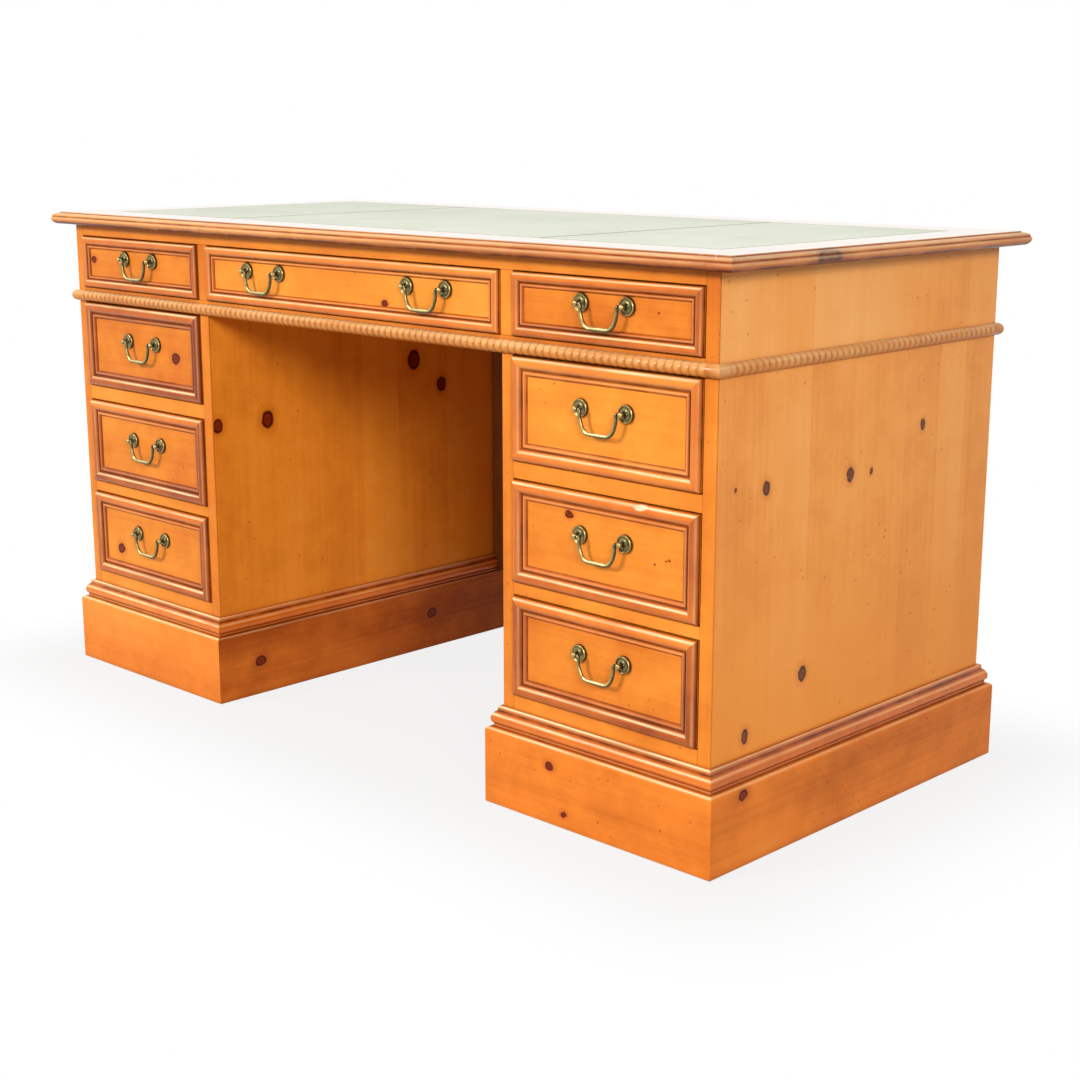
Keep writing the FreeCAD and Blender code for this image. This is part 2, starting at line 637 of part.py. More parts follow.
def build_drawer(name, opening_x, opening_z, frame, pull_places, patterns):
    """One drawer: moulded front, box behind it, and a swan-neck pull at each place.

    frame holds the moulding's section and width, and the margin left between its inner edge and
    the rosettes below it.
    """
    gap = "Sizes.drawer_gap"
    front_x = (f"({opening_x[0]} + {gap})", f"({opening_x[1]} - {gap})")
    front_z = (f"({opening_z[0]} + {gap})", f"({opening_z[1]} - {gap})")
    face_y = minus(CARCASS_Y)
    front = board("front_board", front_x, (face_y, FRONT_BACK_Y), front_z)
    strips = ring_on_front(
        f"{name}_moulding", frame["section"], front_x, front_z, face_y, frame["wide"], frame_proud
    )
    node(f"{name}_front", front, *strips)

    clear = "Sizes.box_clearance"
    wall = "Sizes.box_wall"
    box_x = (f"({opening_x[0]} + {clear})", f"({opening_x[1]} - {clear})")
    inside_x = (f"({box_x[0]} + {wall})", f"({box_x[1]} - {wall})")
    box_z = (f"({opening_z[0]} + Sizes.running_clearance)", f"({opening_z[1]} - Sizes.box_headroom)")
    floor_z = (f"({box_z[0]} + Sizes.box_floor_raise)", f"({box_z[0]} + Sizes.box_floor_raise + Sizes.box_floor)")
    box_y = (FRONT_BACK_Y, BOX_BACK_Y)
    back_y = (f"({BOX_BACK_Y} - {wall})", BOX_BACK_Y)
    node(
        f"{name}_box",
        board("box_left", (box_x[0], inside_x[0]), box_y, box_z),
        board("box_right", (inside_x[1], box_x[1]), box_y, box_z),
        board("box_back", inside_x, back_y, (floor_z[1], box_z[1])),
        board("box_floor", inside_x, box_y, floor_z),
    )

    pivot_z = f"({front_z[1]} - {frame['wide']} - {frame['margin']} - Sizes.rosette_radius)"
    pivot_y = f"({face_y} - Sizes.pull_projection)"
    hardware = []
    for label, pull_x in pull_places:
        for side, hand in ((-1, LEFT), (1, RIGHT)):
            post_x = f"({pull_x} + {side} * Sizes.pull_centres / 2)"
            hardware.append(one_of(patterns[hand], (post_x, face_y, pivot_z)))
            inward = FreeCAD.Rotation(X_AXIS, -90)
            hardware.append(one_of(patterns["nut"], (post_x, FRONT_BACK_Y, pivot_z), inward))
        node(f"{name}_{label}", one_of(patterns["bail"], (pull_x, pivot_y, pivot_z)))
    node(f"{name}_pull_posts", *hardware)


def build_drawers():
    patterns = {LEFT: pull_post(LEFT), RIGHT: pull_post(RIGHT), "bail": pull_bail(), "nut": pull_nut()}
    frieze_z = (FRIEZE_RAIL_Z, TOP_RAIL_Z)
    centre_x = (minus(DIVIDER_X), DIVIDER_X)
    offset = f"({DIVIDER_X} - Sizes.centre_pull_inset)"
    pair = [("left_bail", minus(offset)), ("right_bail", offset)]
    build_drawer("frieze_centre_drawer", centre_x, frieze_z, FRIEZE_FRAME, pair, patterns)
    levels = [
        ("upper", (UPPER_SILL_Z, FRIEZE_Z)),
        ("middle", (MIDDLE_SILL_Z, UPPER_RAIL_Z)),
        ("lower", (LOWER_SILL_Z, LOWER_RAIL_Z)),
    ]
    for side, hand in ((-1, LEFT), (1, RIGHT)):
        opening_x = mirrored(side, OPENING_IN_X, OPENING_OUT_X)
        pull = [("bail", f"(({opening_x[0]} + {opening_x[1]}) / 2)")]
        build_drawer(f"frieze_{hand}_drawer", opening_x, frieze_z, FRIEZE_FRAME, pull, patterns)
        for level, opening_z in levels:
            build_drawer(f"{hand}_{level}_drawer", opening_x, opening_z, PEDESTAL_FRAME, pull, patterns)


build_top()
build_frieze()
build_pedestals()
build_drawers()
doc.recompute()

failed = [item.Label for item in doc.Objects if "Invalid" in item.State or "Error" in item.State]
failed += [item.Label for item in nodes if item.Shape.isNull() or not item.Shape.isValid()]
if failed:
    raise RuntimeError(f"these objects failed: {failed}")

os.makedirs("parts", exist_ok=True)
for item in nodes:
    item.Shape.exportStep(os.path.join("parts", f"{item.Label}.step"))
print(f"{len(nodes)} parts, {sum(len(item.Shape.Solids) for item in nodes)} solids")
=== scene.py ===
import bmesh
import bpy
import itertools
import json
import math
import random
from mathutils import Matrix, Vector

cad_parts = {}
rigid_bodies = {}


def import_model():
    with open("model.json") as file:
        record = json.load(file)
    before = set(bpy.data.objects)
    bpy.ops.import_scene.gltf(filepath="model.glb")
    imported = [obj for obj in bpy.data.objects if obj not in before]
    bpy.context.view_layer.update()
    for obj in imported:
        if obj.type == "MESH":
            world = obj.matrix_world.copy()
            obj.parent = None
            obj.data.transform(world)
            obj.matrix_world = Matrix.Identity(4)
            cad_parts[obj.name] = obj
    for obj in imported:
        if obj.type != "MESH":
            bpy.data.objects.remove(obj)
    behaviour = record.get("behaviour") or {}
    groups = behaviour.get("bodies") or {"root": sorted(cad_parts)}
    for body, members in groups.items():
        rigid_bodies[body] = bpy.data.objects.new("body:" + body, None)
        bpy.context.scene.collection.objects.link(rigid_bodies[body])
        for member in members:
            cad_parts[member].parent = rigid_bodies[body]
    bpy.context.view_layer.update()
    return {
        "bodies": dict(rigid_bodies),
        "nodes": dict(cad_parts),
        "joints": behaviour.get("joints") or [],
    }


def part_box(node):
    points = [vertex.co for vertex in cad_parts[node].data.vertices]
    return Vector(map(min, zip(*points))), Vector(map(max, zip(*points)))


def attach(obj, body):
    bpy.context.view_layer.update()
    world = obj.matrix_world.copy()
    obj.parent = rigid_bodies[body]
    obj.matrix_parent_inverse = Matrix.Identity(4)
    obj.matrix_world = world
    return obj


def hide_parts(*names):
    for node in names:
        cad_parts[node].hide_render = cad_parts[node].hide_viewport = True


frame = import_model()

MM = 0.001
HANDS = ("left", "right")
LEVELS = ("upper", "middle", "lower")
DRAWERS = ["frieze_centre_drawer"]
for hand in HANDS:
    DRAWERS.append(f"frieze_{hand}_drawer")
    DRAWERS += [f"{hand}_{level}_drawer" for level in LEVELS]

# Where the desk's faces lie, in metres
CASE_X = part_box("right_pedestal_outer_side")[1].x
KNEE_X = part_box("right_pedestal_inner_side")[0].x
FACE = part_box("frieze_rails")[0].y
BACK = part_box("frieze_back")[1].y
PLINTH_KNEE_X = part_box("right_plinth")[0].x
PLINTH_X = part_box("right_plinth")[1].x
PLINTH_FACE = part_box("right_plinth")[0].y
PLINTH_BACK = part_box("right_plinth")[1].y
TOP_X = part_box("top_border")[1].x


def srgb(red, green, blue):
    """Colour written in the usual 0 to 255 scale, as the linear values that shaders take."""
    linear = []
    for value in (red, green, blue):
        share = value / 255
        linear.append(share / 12.92 if share <= 0.04045 else ((share + 0.055) / 1.055) ** 2.4)
    return (*linear, 1.0)


# Materials

class Shader:
    """Short way to write a material's nodes."""

    def __init__(self, name):
        self.material = bpy.data.materials.new(name)
        self.material.use_nodes = True
        self.tree = self.material.node_tree
        self.principled = self.tree.nodes["Principled BSDF"]

    def node(self, kind, inputs=None, **settings):
        made = self.tree.nodes.new(kind)
        for setting, value in settings.items():
            setattr(made, setting, value)
        for socket, value in (inputs or {}).items():
            self.put(made.inputs[socket], value)
        return made

    def put(self, socket, value):
        if isinstance(value, bpy.types.NodeSocket):
            self.tree.links.new(value, socket)
        else:
            socket.default_value = value

    def math(self, operation, first, second=0.0, third=0.0):
        inputs = {0: first, 1: second, 2: third}
        return self.node("ShaderNodeMath", inputs, operation=operation).outputs[0]

    def vector(self, operation, first, second=(0, 0, 0)):
        made = self.node("ShaderNodeVectorMath", {0: first, 1: second}, operation=operation)
        return made.outputs["Value" if operation in ("DISTANCE", "LENGTH") else "Vector"]

    def span(self, value, low, high, to_low=0.0, to_high=1.0):
        """Smooth step from low to high."""
        inputs = {"Value": value, "From Min": low, "From Max": high, "To Min": to_low, "To Max": to_high}
        return self.node("ShaderNodeMapRange", inputs, interpolation_type="SMOOTHSTEP").outputs["Result"]

    def noise(self, vector, scale=1.0, detail=2.0, roughness=0.5, distortion=0.0):
        inputs = {"Vector": vector, "Scale": scale, "Detail": detail}
        inputs.update({"Roughness": roughness, "Distortion": distortion})
        return self.node("ShaderNodeTexNoise", inputs).outputs["Fac"]

    def grained(self, grain, waves, **settings):
        """Noise drawn out along the grain; waves are per metre, along it and twice across it."""
        return self.noise(self.vector("MULTIPLY", grain, waves), **settings)

    def swing(self, value, amount, base):
        """Adds a noise value, which lies round one half, to a base."""
        return self.math("MULTIPLY_ADD", self.math("SUBTRACT", value, 0.5), amount, base)

    def voronoi(self, vector, scale):
        return self.node("ShaderNodeTexVoronoi", {"Vector": vector, "Scale": scale})

    def mix(self, factor, first, second):
        made = self.node("ShaderNodeMix", data_type="RGBA")
        for socket, value in ((0, factor), (6, first), (7, second)):
            self.put(made.inputs[socket], value)
        return made.outputs[2]

    def ramp(self, value, stops):
        made = self.node("ShaderNodeValToRGB", {"Fac": value})
        elements = made.color_ramp.elements
        while len(elements) < len(stops):
            elements.new(0.5)
        for element, (position, colour) in zip(elements, stops):
            element.position = position
            element.color = colour
        return made.outputs["Color"]

    def attribute(self, name, output="Fac"):
        return self.node("ShaderNodeAttribute", attribute_name=name).outputs[output]

    def place(self):
        """Place on the object, in metres."""
        return self.node("ShaderNodeTexCoord").outputs["Object"]

    def occlusion(self, distance):
        return self.node("ShaderNodeAmbientOcclusion", {"Distance": distance}, samples=6).outputs["AO"]

    def nearest(self, vector, spots, squeeze):
        """Distance to the nearest of (x, y, z, radius) spots, in radii; squeeze draws the spots out."""
        near = self.vector("MULTIPLY", vector, squeeze)
        least = None
        for x, y, z, radius in spots:
            spot = tuple(part * factor for part, factor in zip((x, y, z), squeeze))
            away = self.math("MULTIPLY", self.vector("DISTANCE", near, spot), 1 / radius)
            least = away if least is None else self.math("MINIMUM", least, away)
        return least

    def surface(self, **values):
        """Sets the shader's own sockets, by name with underscores for spaces."""
        for name, value in values.items():
            self.put(self.principled.inputs[name.replace("_", " ")], value)

    def bump(self, height, strength, distance):
        inputs = {"Height": height, "Strength": strength, "Distance": distance}
        self.surface(Normal=self.node("ShaderNodeBump", inputs).outputs["Normal"])


# Wood

# Dark glazing, also laid on as painted shade in corners, creases and gaps and under the top's overhang
GLAZE_AND_SHADE = srgb(98, 34, 2)
FLECK = srgb(150, 50, 4)
# Pale rubbing, also laid on as painted highlight on edges and shoulders that face the light
RUBBED_AND_HIGHLIGHT = srgb(255, 228, 172)
BARE = srgb(255, 232, 198)
BROWN_KNOT = [
    (0.0, srgb(80, 32, 8)), (0.45, srgb(126, 58, 16)), (0.8, srgb(54, 20, 2)), (1.0, srgb(94, 40, 6)),
]
RED_KNOT = [
    (0.0, srgb(88, 22, 0)), (0.5, srgb(138, 42, 4)), (0.8, srgb(50, 8, 0)), (1.0, srgb(112, 34, 0)),
]

# Waves per metre, along the grain and twice across it
FIGURE_WAVES = (0.9, 11.0, 11.0)
LINE_WAVES = (2.4, 130.0, 130.0)
FIBRE_WAVES = (18.0, 1100.0, 1100.0)
STREAK_WAVES = (9.0, 160.0, 160.0)
# Waves per metre, alike each way
CLOUD_WAVES, MOTTLE_WAVES, PATCH_WAVES, CHIP_WAVES, WOBBLE_WAVES = 5.0, 24.0, 22.0, 210.0, 90.0

FIBRE_SHARE, CLOUD_SHARE, MOTTLE_SHARE = 0.12, 0.45, 0.3
LIGHT_AT, MIDDLE_AT, DEEP_AT = 0.12, 0.5, 0.92
TINT_HEIGHTS, TINT_SHARE = (0.5, 0.12), 0.75
WOBBLE_REACH = 0.006
HALO_RADII, HALO_SHARE = (2.3, 1.0), 0.4
KNOT_EDGE = (1.15, 0.85)
FLECK_CELLS, FLECK_EDGE, FLECK_SHARE, FLECK_PICK = 60.0, (0.14, 0.05), 0.5, 0.78
FLECK_CLOUDS = (0.46, 0.58, 0.1, 1.0)
DASH_CELLS, DASH_EDGE, DASH_SHARE, DASH_PICK = (70, 70, 24), (0.12, 0.05), 0.55, 0.5
DASH_CLOUDS = (0.5, 0.58)
DASH_LEAN = (math.radians(40), math.radians(-40), 0)
# Painted shade: darker where occlusion finds nearby surfaces, as in corners and creases
CREVICE_REACH, CREVICE_EDGE = 0.012, (0.9, 0.35)
GLAZE_AND_SHADE_PATCHES = (0.3, 0.65, 0.5, 1.1)
WEAR_AND_HIGHLIGHT_STREAKS, WEAR_AND_HIGHLIGHT_LEAST = (0.3, 0.62), 0.4
CHIP_EDGE, CHIP_CLOUDS = (0.62, 0.7), (0.45, 0.6)
RUB_EDGE, RUB_STREAKS = (1.1, 0.6), (0.35, 0.6, 0.1, 0.9)
ROUGHNESS_SWING = 0.14
LINE_RELIEF, GRAIN_RELIEF = 0.3, (0.07, 0.0004)


def wobbled(sh, place):
    """Place moved about a little, so that round marks come out uneven."""
    inputs = {"Vector": place, "Scale": WOBBLE_WAVES, "Detail": 2.0}
    wobble = sh.node("ShaderNodeTexNoise", inputs).outputs["Color"]
    centred = sh.vector("SUBTRACT", wobble, (0.5, 0.5, 0.5))
    return sh.vector("ADD", place, sh.vector("MULTIPLY", centred, (WOBBLE_REACH,) * 3))


def knotted(sh, colour, reach, deep, knot_ramp):
    """Knots in a halo of deeper stain; reach is the distance to the nearest knot, in its radii."""
    colour = sh.mix(sh.span(reach, *HALO_RADII, 0.0, HALO_SHARE), colour, deep)
    return sh.mix(sh.span(reach, *KNOT_EDGE), colour, sh.ramp(reach, knot_ramp))


def marked(sh, colour, cells, edge, strength, least_pick, where):
    """Small dark marks in the middle of some cells of a pattern."""
    pick = sh.node("ShaderNodeSeparateColor", {0: cells.outputs["Color"]}).outputs[0]
    mark = sh.span(cells.outputs["Distance"], *edge, 0.0, strength)
    struck = sh.math("MULTIPLY", sh.math("GREATER_THAN", pick, least_pick), where)
    return sh.mix(sh.math("MULTIPLY", mark, struck), colour, FLECK)


def specked(sh, colour, moved, cloud, specks):
    """Round flecks and slanted dashes, closer together where the cloud is thick."""
    flecks = sh.voronoi(moved, FLECK_CELLS)
    thick = sh.span(cloud, *FLECK_CLOUDS)
    colour = marked(sh, colour, flecks, FLECK_EDGE, FLECK_SHARE * specks, FLECK_PICK, thick)
    inputs = {"Vector": moved, "Rotation": DASH_LEAN}
    slanted = sh.node("ShaderNodeVectorRotate", inputs, rotation_type="EULER_XYZ").outputs[0]
    dashes = sh.voronoi(sh.vector("MULTIPLY", slanted, DASH_CELLS), 1.0)
    thick = sh.span(cloud, *DASH_CLOUDS)
    return marked(sh, colour, dashes, DASH_EDGE, DASH_SHARE * specks, DASH_PICK, thick)


def glazed_and_shaded(sh, colour, place, glaze):
    """Dark glazing and painted shade: darker in the corners and creases that occlusion finds and, patchily,
    where the shape's points are painted dark.
    """
    patchy = sh.noise(place, PATCH_WAVES, detail=3.0, roughness=0.6)
    # Painted shade from occlusion
    crevice = sh.span(sh.occlusion(CREVICE_REACH), *CREVICE_EDGE, 0.0, glaze)
    painted = sh.math("MULTIPLY", sh.attribute("glaze"), sh.span(patchy, *GLAZE_AND_SHADE_PATCHES))
    return sh.mix(sh.math("MAXIMUM", crevice, painted), colour, GLAZE_AND_SHADE)


def wood(name, light, middle, deep, knots=(), squeeze=(1, 1, 1), tones=0.12, figure=0.5, lines=0.5,
         specks=1.0, glaze=0.4, chips=0.0, worn_and_lit=0.2, rubs=(), low_tint=None, knot_ramp=BROWN_KNOT,
         roughness=0.34, shine=0.14):
    """Stained, lacquered pine: figure and fine lines along the grain, knots, small marks, dark glazing with
    painted shade in the corners, and pale rubbing with painted highlights on edges and shoulders.

    light, middle and deep are the stain's colours. knots and rubs are (x, y, z, radius) in metres where the
    boards stand, and squeeze draws them out along the grain. low_tint is a colour that the surface turns to
    towards the floor.
    """
    sh = Shader(name)
    grain = sh.attribute("grain", "Vector")
    place = sh.place()
    moved = wobbled(sh, place)
    broad = sh.grained(grain, FIGURE_WAVES, distortion=0.3)
    line = sh.grained(grain, LINE_WAVES, detail=3.0, roughness=0.6)
    fibre = sh.grained(grain, FIBRE_WAVES, roughness=0.6)
    streaky = sh.grained(grain, STREAK_WAVES, detail=3.0, roughness=0.6)
    cloud = sh.noise(place, CLOUD_WAVES)
    mottle = sh.noise(place, MOTTLE_WAVES, detail=3.0, roughness=0.6)

    value = sh.math("MULTIPLY_ADD", sh.attribute("tone"), tones, 0.5)
    shares = [(broad, figure), (line, lines), (fibre, FIBRE_SHARE)]
    shares += [(cloud, CLOUD_SHARE), (mottle, MOTTLE_SHARE)]
    for part, share in shares:
        value = sh.swing(part, share, value)
    colour = sh.ramp(value, [(LIGHT_AT, light), (MIDDLE_AT, middle), (DEEP_AT, deep)])
    if low_tint:
        height = sh.node("ShaderNodeSeparateXYZ", {0: place}).outputs["Z"]
        colour = sh.mix(sh.span(height, *TINT_HEIGHTS, 0.0, TINT_SHARE), colour, low_tint)
    if knots:
        colour = knotted(sh, colour, sh.nearest(moved, knots, squeeze), deep, knot_ramp)
    colour = specked(sh, colour, moved, cloud, specks)
    # Glazing and painted shade in the corners, creases and gaps
    colour = glazed_and_shaded(sh, colour, place, glaze)

    # Rubbing and painted highlights, where the shape's points ask for them
    wear = sh.attribute("wear")
    rubbed_and_lit = sh.math("MULTIPLY", wear, sh.span(streaky, *WEAR_AND_HIGHLIGHT_STREAKS, WEAR_AND_HIGHLIGHT_LEAST * worn_and_lit, worn_and_lit))
    if chips:
        chip = sh.noise(place, CHIP_WAVES, roughness=0.6)
        struck = sh.math("MULTIPLY", sh.span(chip, *CHIP_EDGE, 0.0, chips), sh.span(cloud, *CHIP_CLOUDS))
        rubbed_and_lit = sh.math("MAXIMUM", rubbed_and_lit, sh.math("MULTIPLY", wear, struck))
    colour = sh.mix(rubbed_and_lit, colour, RUBBED_AND_HIGHLIGHT)
    if rubs:
        spot = sh.span(sh.nearest(moved, rubs, squeeze), *RUB_EDGE)
        colour = sh.mix(sh.math("MULTIPLY", spot, sh.span(streaky, *RUB_STREAKS)), colour, BARE)

    least = roughness - ROUGHNESS_SWING / 2
    sh.surface(Base_Color=colour, Specular_IOR_Level=shine)
    sh.surface(Roughness=sh.math("MULTIPLY_ADD", fibre, ROUGHNESS_SWING, least))
    sh.bump(sh.math("MULTIPLY_ADD", line, LINE_RELIEF, fibre), *GRAIN_RELIEF)
    return sh.material


# Leather and brass

HIDE_STOPS = [(0.2, srgb(205, 210, 187)), (0.5, srgb(218, 222, 202)), (0.85, srgb(229, 231, 215))]
HIDE_CLOUDS, HIDE_CREASES, HIDE_PEBBLES = 7.0, 160.0, 900.0
CREASE_SHARE, PEBBLE_SHARE, HIDE_RELIEF = 0.3, 0.7, (0.2, 0.0003)
SEAM, SEAM_SHARE = srgb(92, 76, 48), 0.9
BRASS_STOPS = [
    (0.08, srgb(46, 42, 28)), (0.35, srgb(98, 90, 60)), (0.65, srgb(176, 156, 96)),
    (0.95, srgb(244, 226, 164)),
]
BRASS_MOTTLE, HOLLOW_REACH, HOLLOW_EDGE = 300.0, 0.006, (0.3, 0.95, 0.35, 1.0)
TARNISH_SHARE, BRASS_RELIEF = 0.35, (0.1, 0.0003)
# Roughness, as how far it swings and what it starts from
HIDE_ROUGHNESS, BRASS_ROUGHNESS = (0.2, 0.42), (0.22, 0.2)


def leather(name):
    """Pale hide, closely pebbled, a little cloudy, darker where the panels meet."""
    sh = Shader(name)
    place = sh.place()
    cloud = sh.noise(place, HIDE_CLOUDS, detail=4.0, roughness=0.6)
    pebble = sh.voronoi(place, HIDE_PEBBLES).outputs["Distance"]
    crease = sh.noise(place, HIDE_CREASES, detail=3.0, roughness=0.65)
    colour = sh.ramp(sh.swing(crease, CREASE_SHARE, cloud), HIDE_STOPS)
    colour = sh.mix(sh.math("MULTIPLY", sh.attribute("glaze"), SEAM_SHARE), colour, SEAM)
    sh.surface(Base_Color=colour, Roughness=sh.math("MULTIPLY_ADD", crease, *HIDE_ROUGHNESS))
    sh.bump(sh.math("MULTIPLY_ADD", pebble, PEBBLE_SHARE, crease), *HIDE_RELIEF)
    return sh.material


def brass(name):
    """Cast brass gone dark in the hollows, bright with rubbing and painted highlights on the high places and
    on the side that faces the light.
    """
    sh = Shader(name)
    mottle = sh.noise(sh.place(), BRASS_MOTTLE, detail=4.0, roughness=0.65)
    open_air = sh.span(sh.occlusion(HOLLOW_REACH), *HOLLOW_EDGE)
    # Painted highlight with rubbing where the shape's points ask for it; the hollows keep their patina
    bright = sh.math("MULTIPLY", sh.attribute("wear"), open_air)
    sh.surface(Base_Color=sh.ramp(sh.swing(mottle, TARNISH_SHARE, bright), BRASS_STOPS), Metallic=0.9)
    sh.surface(Roughness=sh.math("MULTIPLY_ADD", mottle, *BRASS_ROUGHNESS))
    sh.bump(mottle, *BRASS_RELIEF)
    return sh.material


# Knots, as (place along the face, height, radius) on the faces that the photograph shows, in metres

SIDE_KNOTS = [
    (-0.2086, 0.4735, 0.0074), (-0.0316, 0.4666, 0.0080), (0.0153, 0.4640, 0.0042), (0.1341, 0.5111, 0.0060),
    (-0.1226, 0.2183, 0.0084), (-0.2393, 0.1620, 0.0074), (-0.2697, 0.4790, 0.0026),
]
KNEE_KNOTS = [
    (-0.2971, 0.4442, 0.0095), (-0.2006, 0.4439, 0.0120), (0.1147, 0.5095, 0.0140), (0.1779, 0.4620, 0.0105),
]
PLINTH_FRONT_KNOTS = [(0.4239, 0.0812, 0.0062), (0.4514, 0.0200, 0.0042)]
PLINTH_SIDE_KNOTS = [(-0.2625, 0.0960, 0.0070)]
PLINTH_KNEE_KNOTS = [(0.1322, 0.0622, 0.0090), (-0.2433, 0.0553, 0.0090)]
DRAWER_KNOTS = [
    (-0.4102, 0.5425, 0.0090), (-0.5923, 0.2062, 0.0085), (0.0925, 0.6650, 0.0056), (0.5869, 0.6876, 0.0016),
    (0.4415, 0.4203, 0.0056), (-0.6300, 0.6867, 0.0056), (0.5867, 0.3793, 0.0014), (0.6043, 0.3856, 0.0012),
    (0.6090, 0.3877, 0.0014),
]
TOP_EDGE_KNOTS = [(-0.1423, 0.7510, 0.0110)]
# Bare spot on the nose of a drawer's moulding, as (x, y, z, radius)
NOSE_RUBS = [(0.5682, -0.3150, 0.4492, 0.0050)]

# Where the other faces may have knots
SIDE_Y, BACK_X, CASE_Z, KNEE_Z = (-0.28, 0.28), (-0.66, 0.66), (0.16, 0.72), (0.16, 0.60)
PLINTH_SIDE_Y, PLINTH_BACK_X, PLINTH_Z = (-0.30, 0.30), (-0.69, 0.69), (0.02, 0.09)
LEAST_KNOT, MOST_KNOT = 0.004, 0.009


def on_side(x, knots):
    """Knots of a face that looks sideways."""
    return [(x, y, z, radius) for y, z, radius in knots]


def on_front(y, knots):
    """Knots of a face that looks to the front."""
    return [(x, y, z, radius) for x, z, radius in knots]


def scattered(count, seed, x_span, y_span, z_span):
    """Knots strewn over a face that the photograph doesn't show."""
    rng = random.Random(seed)
    knots = []
    for _ in range(count):
        place = [rng.uniform(*span) for span in (x_span, y_span, z_span)]
        knots.append((*place, rng.uniform(LEAST_KNOT, MOST_KNOT)))
    return knots


CASE_KNOTS = on_side(CASE_X, SIDE_KNOTS) + on_side(-KNEE_X, KNEE_KNOTS)
CASE_KNOTS += scattered(6, 11, (-CASE_X, -CASE_X), SIDE_Y, CASE_Z)
CASE_KNOTS += scattered(5, 12, (KNEE_X, KNEE_X), SIDE_Y, KNEE_Z)
CASE_KNOTS += scattered(9, 13, BACK_X, (BACK, BACK), CASE_Z)
PLINTH_KNOTS = on_front(PLINTH_FACE, PLINTH_FRONT_KNOTS) + on_side(PLINTH_X, PLINTH_SIDE_KNOTS)
PLINTH_KNOTS += on_side(-PLINTH_KNEE_X, PLINTH_KNEE_KNOTS)
PLINTH_KNOTS += scattered(3, 21, (-PLINTH_X, -PLINTH_X), PLINTH_SIDE_Y, PLINTH_Z)
PLINTH_KNOTS += scattered(4, 22, PLINTH_BACK_X, (PLINTH_BACK, PLINTH_BACK), PLINTH_Z)
PLINTH_KNOTS += scattered(2, 23, (PLINTH_KNEE_X, PLINTH_KNEE_X), PLINTH_SIDE_Y, PLINTH_Z)
FRONT_KNOTS = on_front(FACE, DRAWER_KNOTS)
EDGE_KNOTS = on_side(TOP_X, TOP_EDGE_KNOTS)

# The outer case is paler and bluer than the kneehole's and the fronts' pine: a painted sheen along with the
# pine's own colour. low_tint makes it more saturated towards the floor.
CASE = wood(
    "honey_pine_case", srgb(251, 180, 104), srgb(244, 159, 74), srgb(206, 110, 38), CASE_KNOTS, (1, 1, 0.8),
    figure=0.45, lines=0.2, specks=1.1, low_tint=srgb(238, 144, 44), roughness=0.42, shine=0.28,
)
INNER = wood(
    "honey_pine_kneehole", srgb(248, 166, 66), srgb(240, 144, 42), srgb(190, 92, 14), CASE_KNOTS, (1, 1, 0.8),
    figure=0.4, lines=0.2, specks=1.2, knot_ramp=RED_KNOT, roughness=0.42,
)
FRONT = wood(
    "honey_pine_front", srgb(252, 178, 80), srgb(242, 147, 50), srgb(196, 90, 20), FRONT_KNOTS, (0.8, 1, 1),
    tones=0.16, figure=0.35, lines=0.2, specks=1.2, glaze=0.55, knot_ramp=RED_KNOT,
)
PLINTH = wood(
    "honey_pine_plinth", srgb(248, 162, 68), srgb(236, 130, 42), srgb(166, 76, 14), PLINTH_KNOTS,
    (0.8, 0.8, 1), tones=0.3, figure=0.6, lines=0.2, specks=1.2, worn_and_lit=0.9, knot_ramp=RED_KNOT, roughness=0.4,
)
FRAME = wood(
    "drawer_moulding_pine", srgb(246, 154, 60), srgb(224, 118, 34), srgb(142, 56, 8), rubs=NOSE_RUBS,
    squeeze=(0.4, 1, 1), tones=0.25, specks=0.5, chips=0.7, worn_and_lit=1.0, glaze=0.85, roughness=0.16, shine=0.28,
)
FOOT = wood(
    "plinth_moulding_pine", srgb(238, 142, 46), srgb(218, 110, 22), srgb(152, 62, 4), specks=0.6, glaze=0.8,
    worn_and_lit=1.0, roughness=0.16, shine=0.28,
)
EDGE = wood(
    "top_edge_pine", srgb(226, 144, 74), srgb(190, 102, 42), srgb(108, 42, 8), EDGE_KNOTS, (1, 0.45, 0.7),
    figure=1.8, lines=0.8, specks=1.2, chips=1.0, worn_and_lit=0.5, glaze=0.8, roughness=0.2, shine=0.2,
)
BEAD = wood(
    "bead_pine", srgb(232, 158, 76), srgb(208, 126, 46), srgb(146, 72, 16), specks=0.3, glaze=0.7, worn_and_lit=0.5,
    roughness=0.22, shine=0.2,
)
# Painted shade: the modesty panel at the back of the kneehole is coloured darker than the rest of the pine
# for the shade that falls there
SHADED = wood(
    "modesty_panel_shaded_pine", srgb(168, 112, 58), srgb(138, 88, 40), srgb(96, 56, 20), specks=0.5, roughness=0.5,
)
INSIDE = wood(
    "planed_pine", srgb(236, 206, 156), srgb(222, 182, 122), srgb(188, 140, 82), specks=0.4, roughness=0.6,
)
TOP = wood(
    "polished_pine_border", srgb(240, 198, 122), srgb(230, 174, 90), srgb(194, 124, 52), specks=0.6,
    roughness=0.2, shine=0.5,
)
POLISH = {"Coat Weight": 1.0, "Coat IOR": 1.75, "Coat Roughness": 0.03}
for socket, value in POLISH.items():
    TOP.node_tree.nodes["Principled BSDF"].inputs[socket].default_value = value
LEATHER = leather("pale_hide")
BRASS = brass("darkened_brass")


# Shapes

SQUARE = ((0, 0), (1, 0), (1, 1), (0, 1))
BOARD_CHAMFER, STAVE_CHAMFER, CHAMFER_LIMIT = 0.0007, 0.00012, 0.25
GRAIN_SHIFT, SHELTERED_AND_UNLIT_RUB = 40, 0.34
# Edges sharper than this many degrees stay sharp
MOULDING_CREASE, BEAD_CREASE, BAR_CREASE = 40, 50, 60


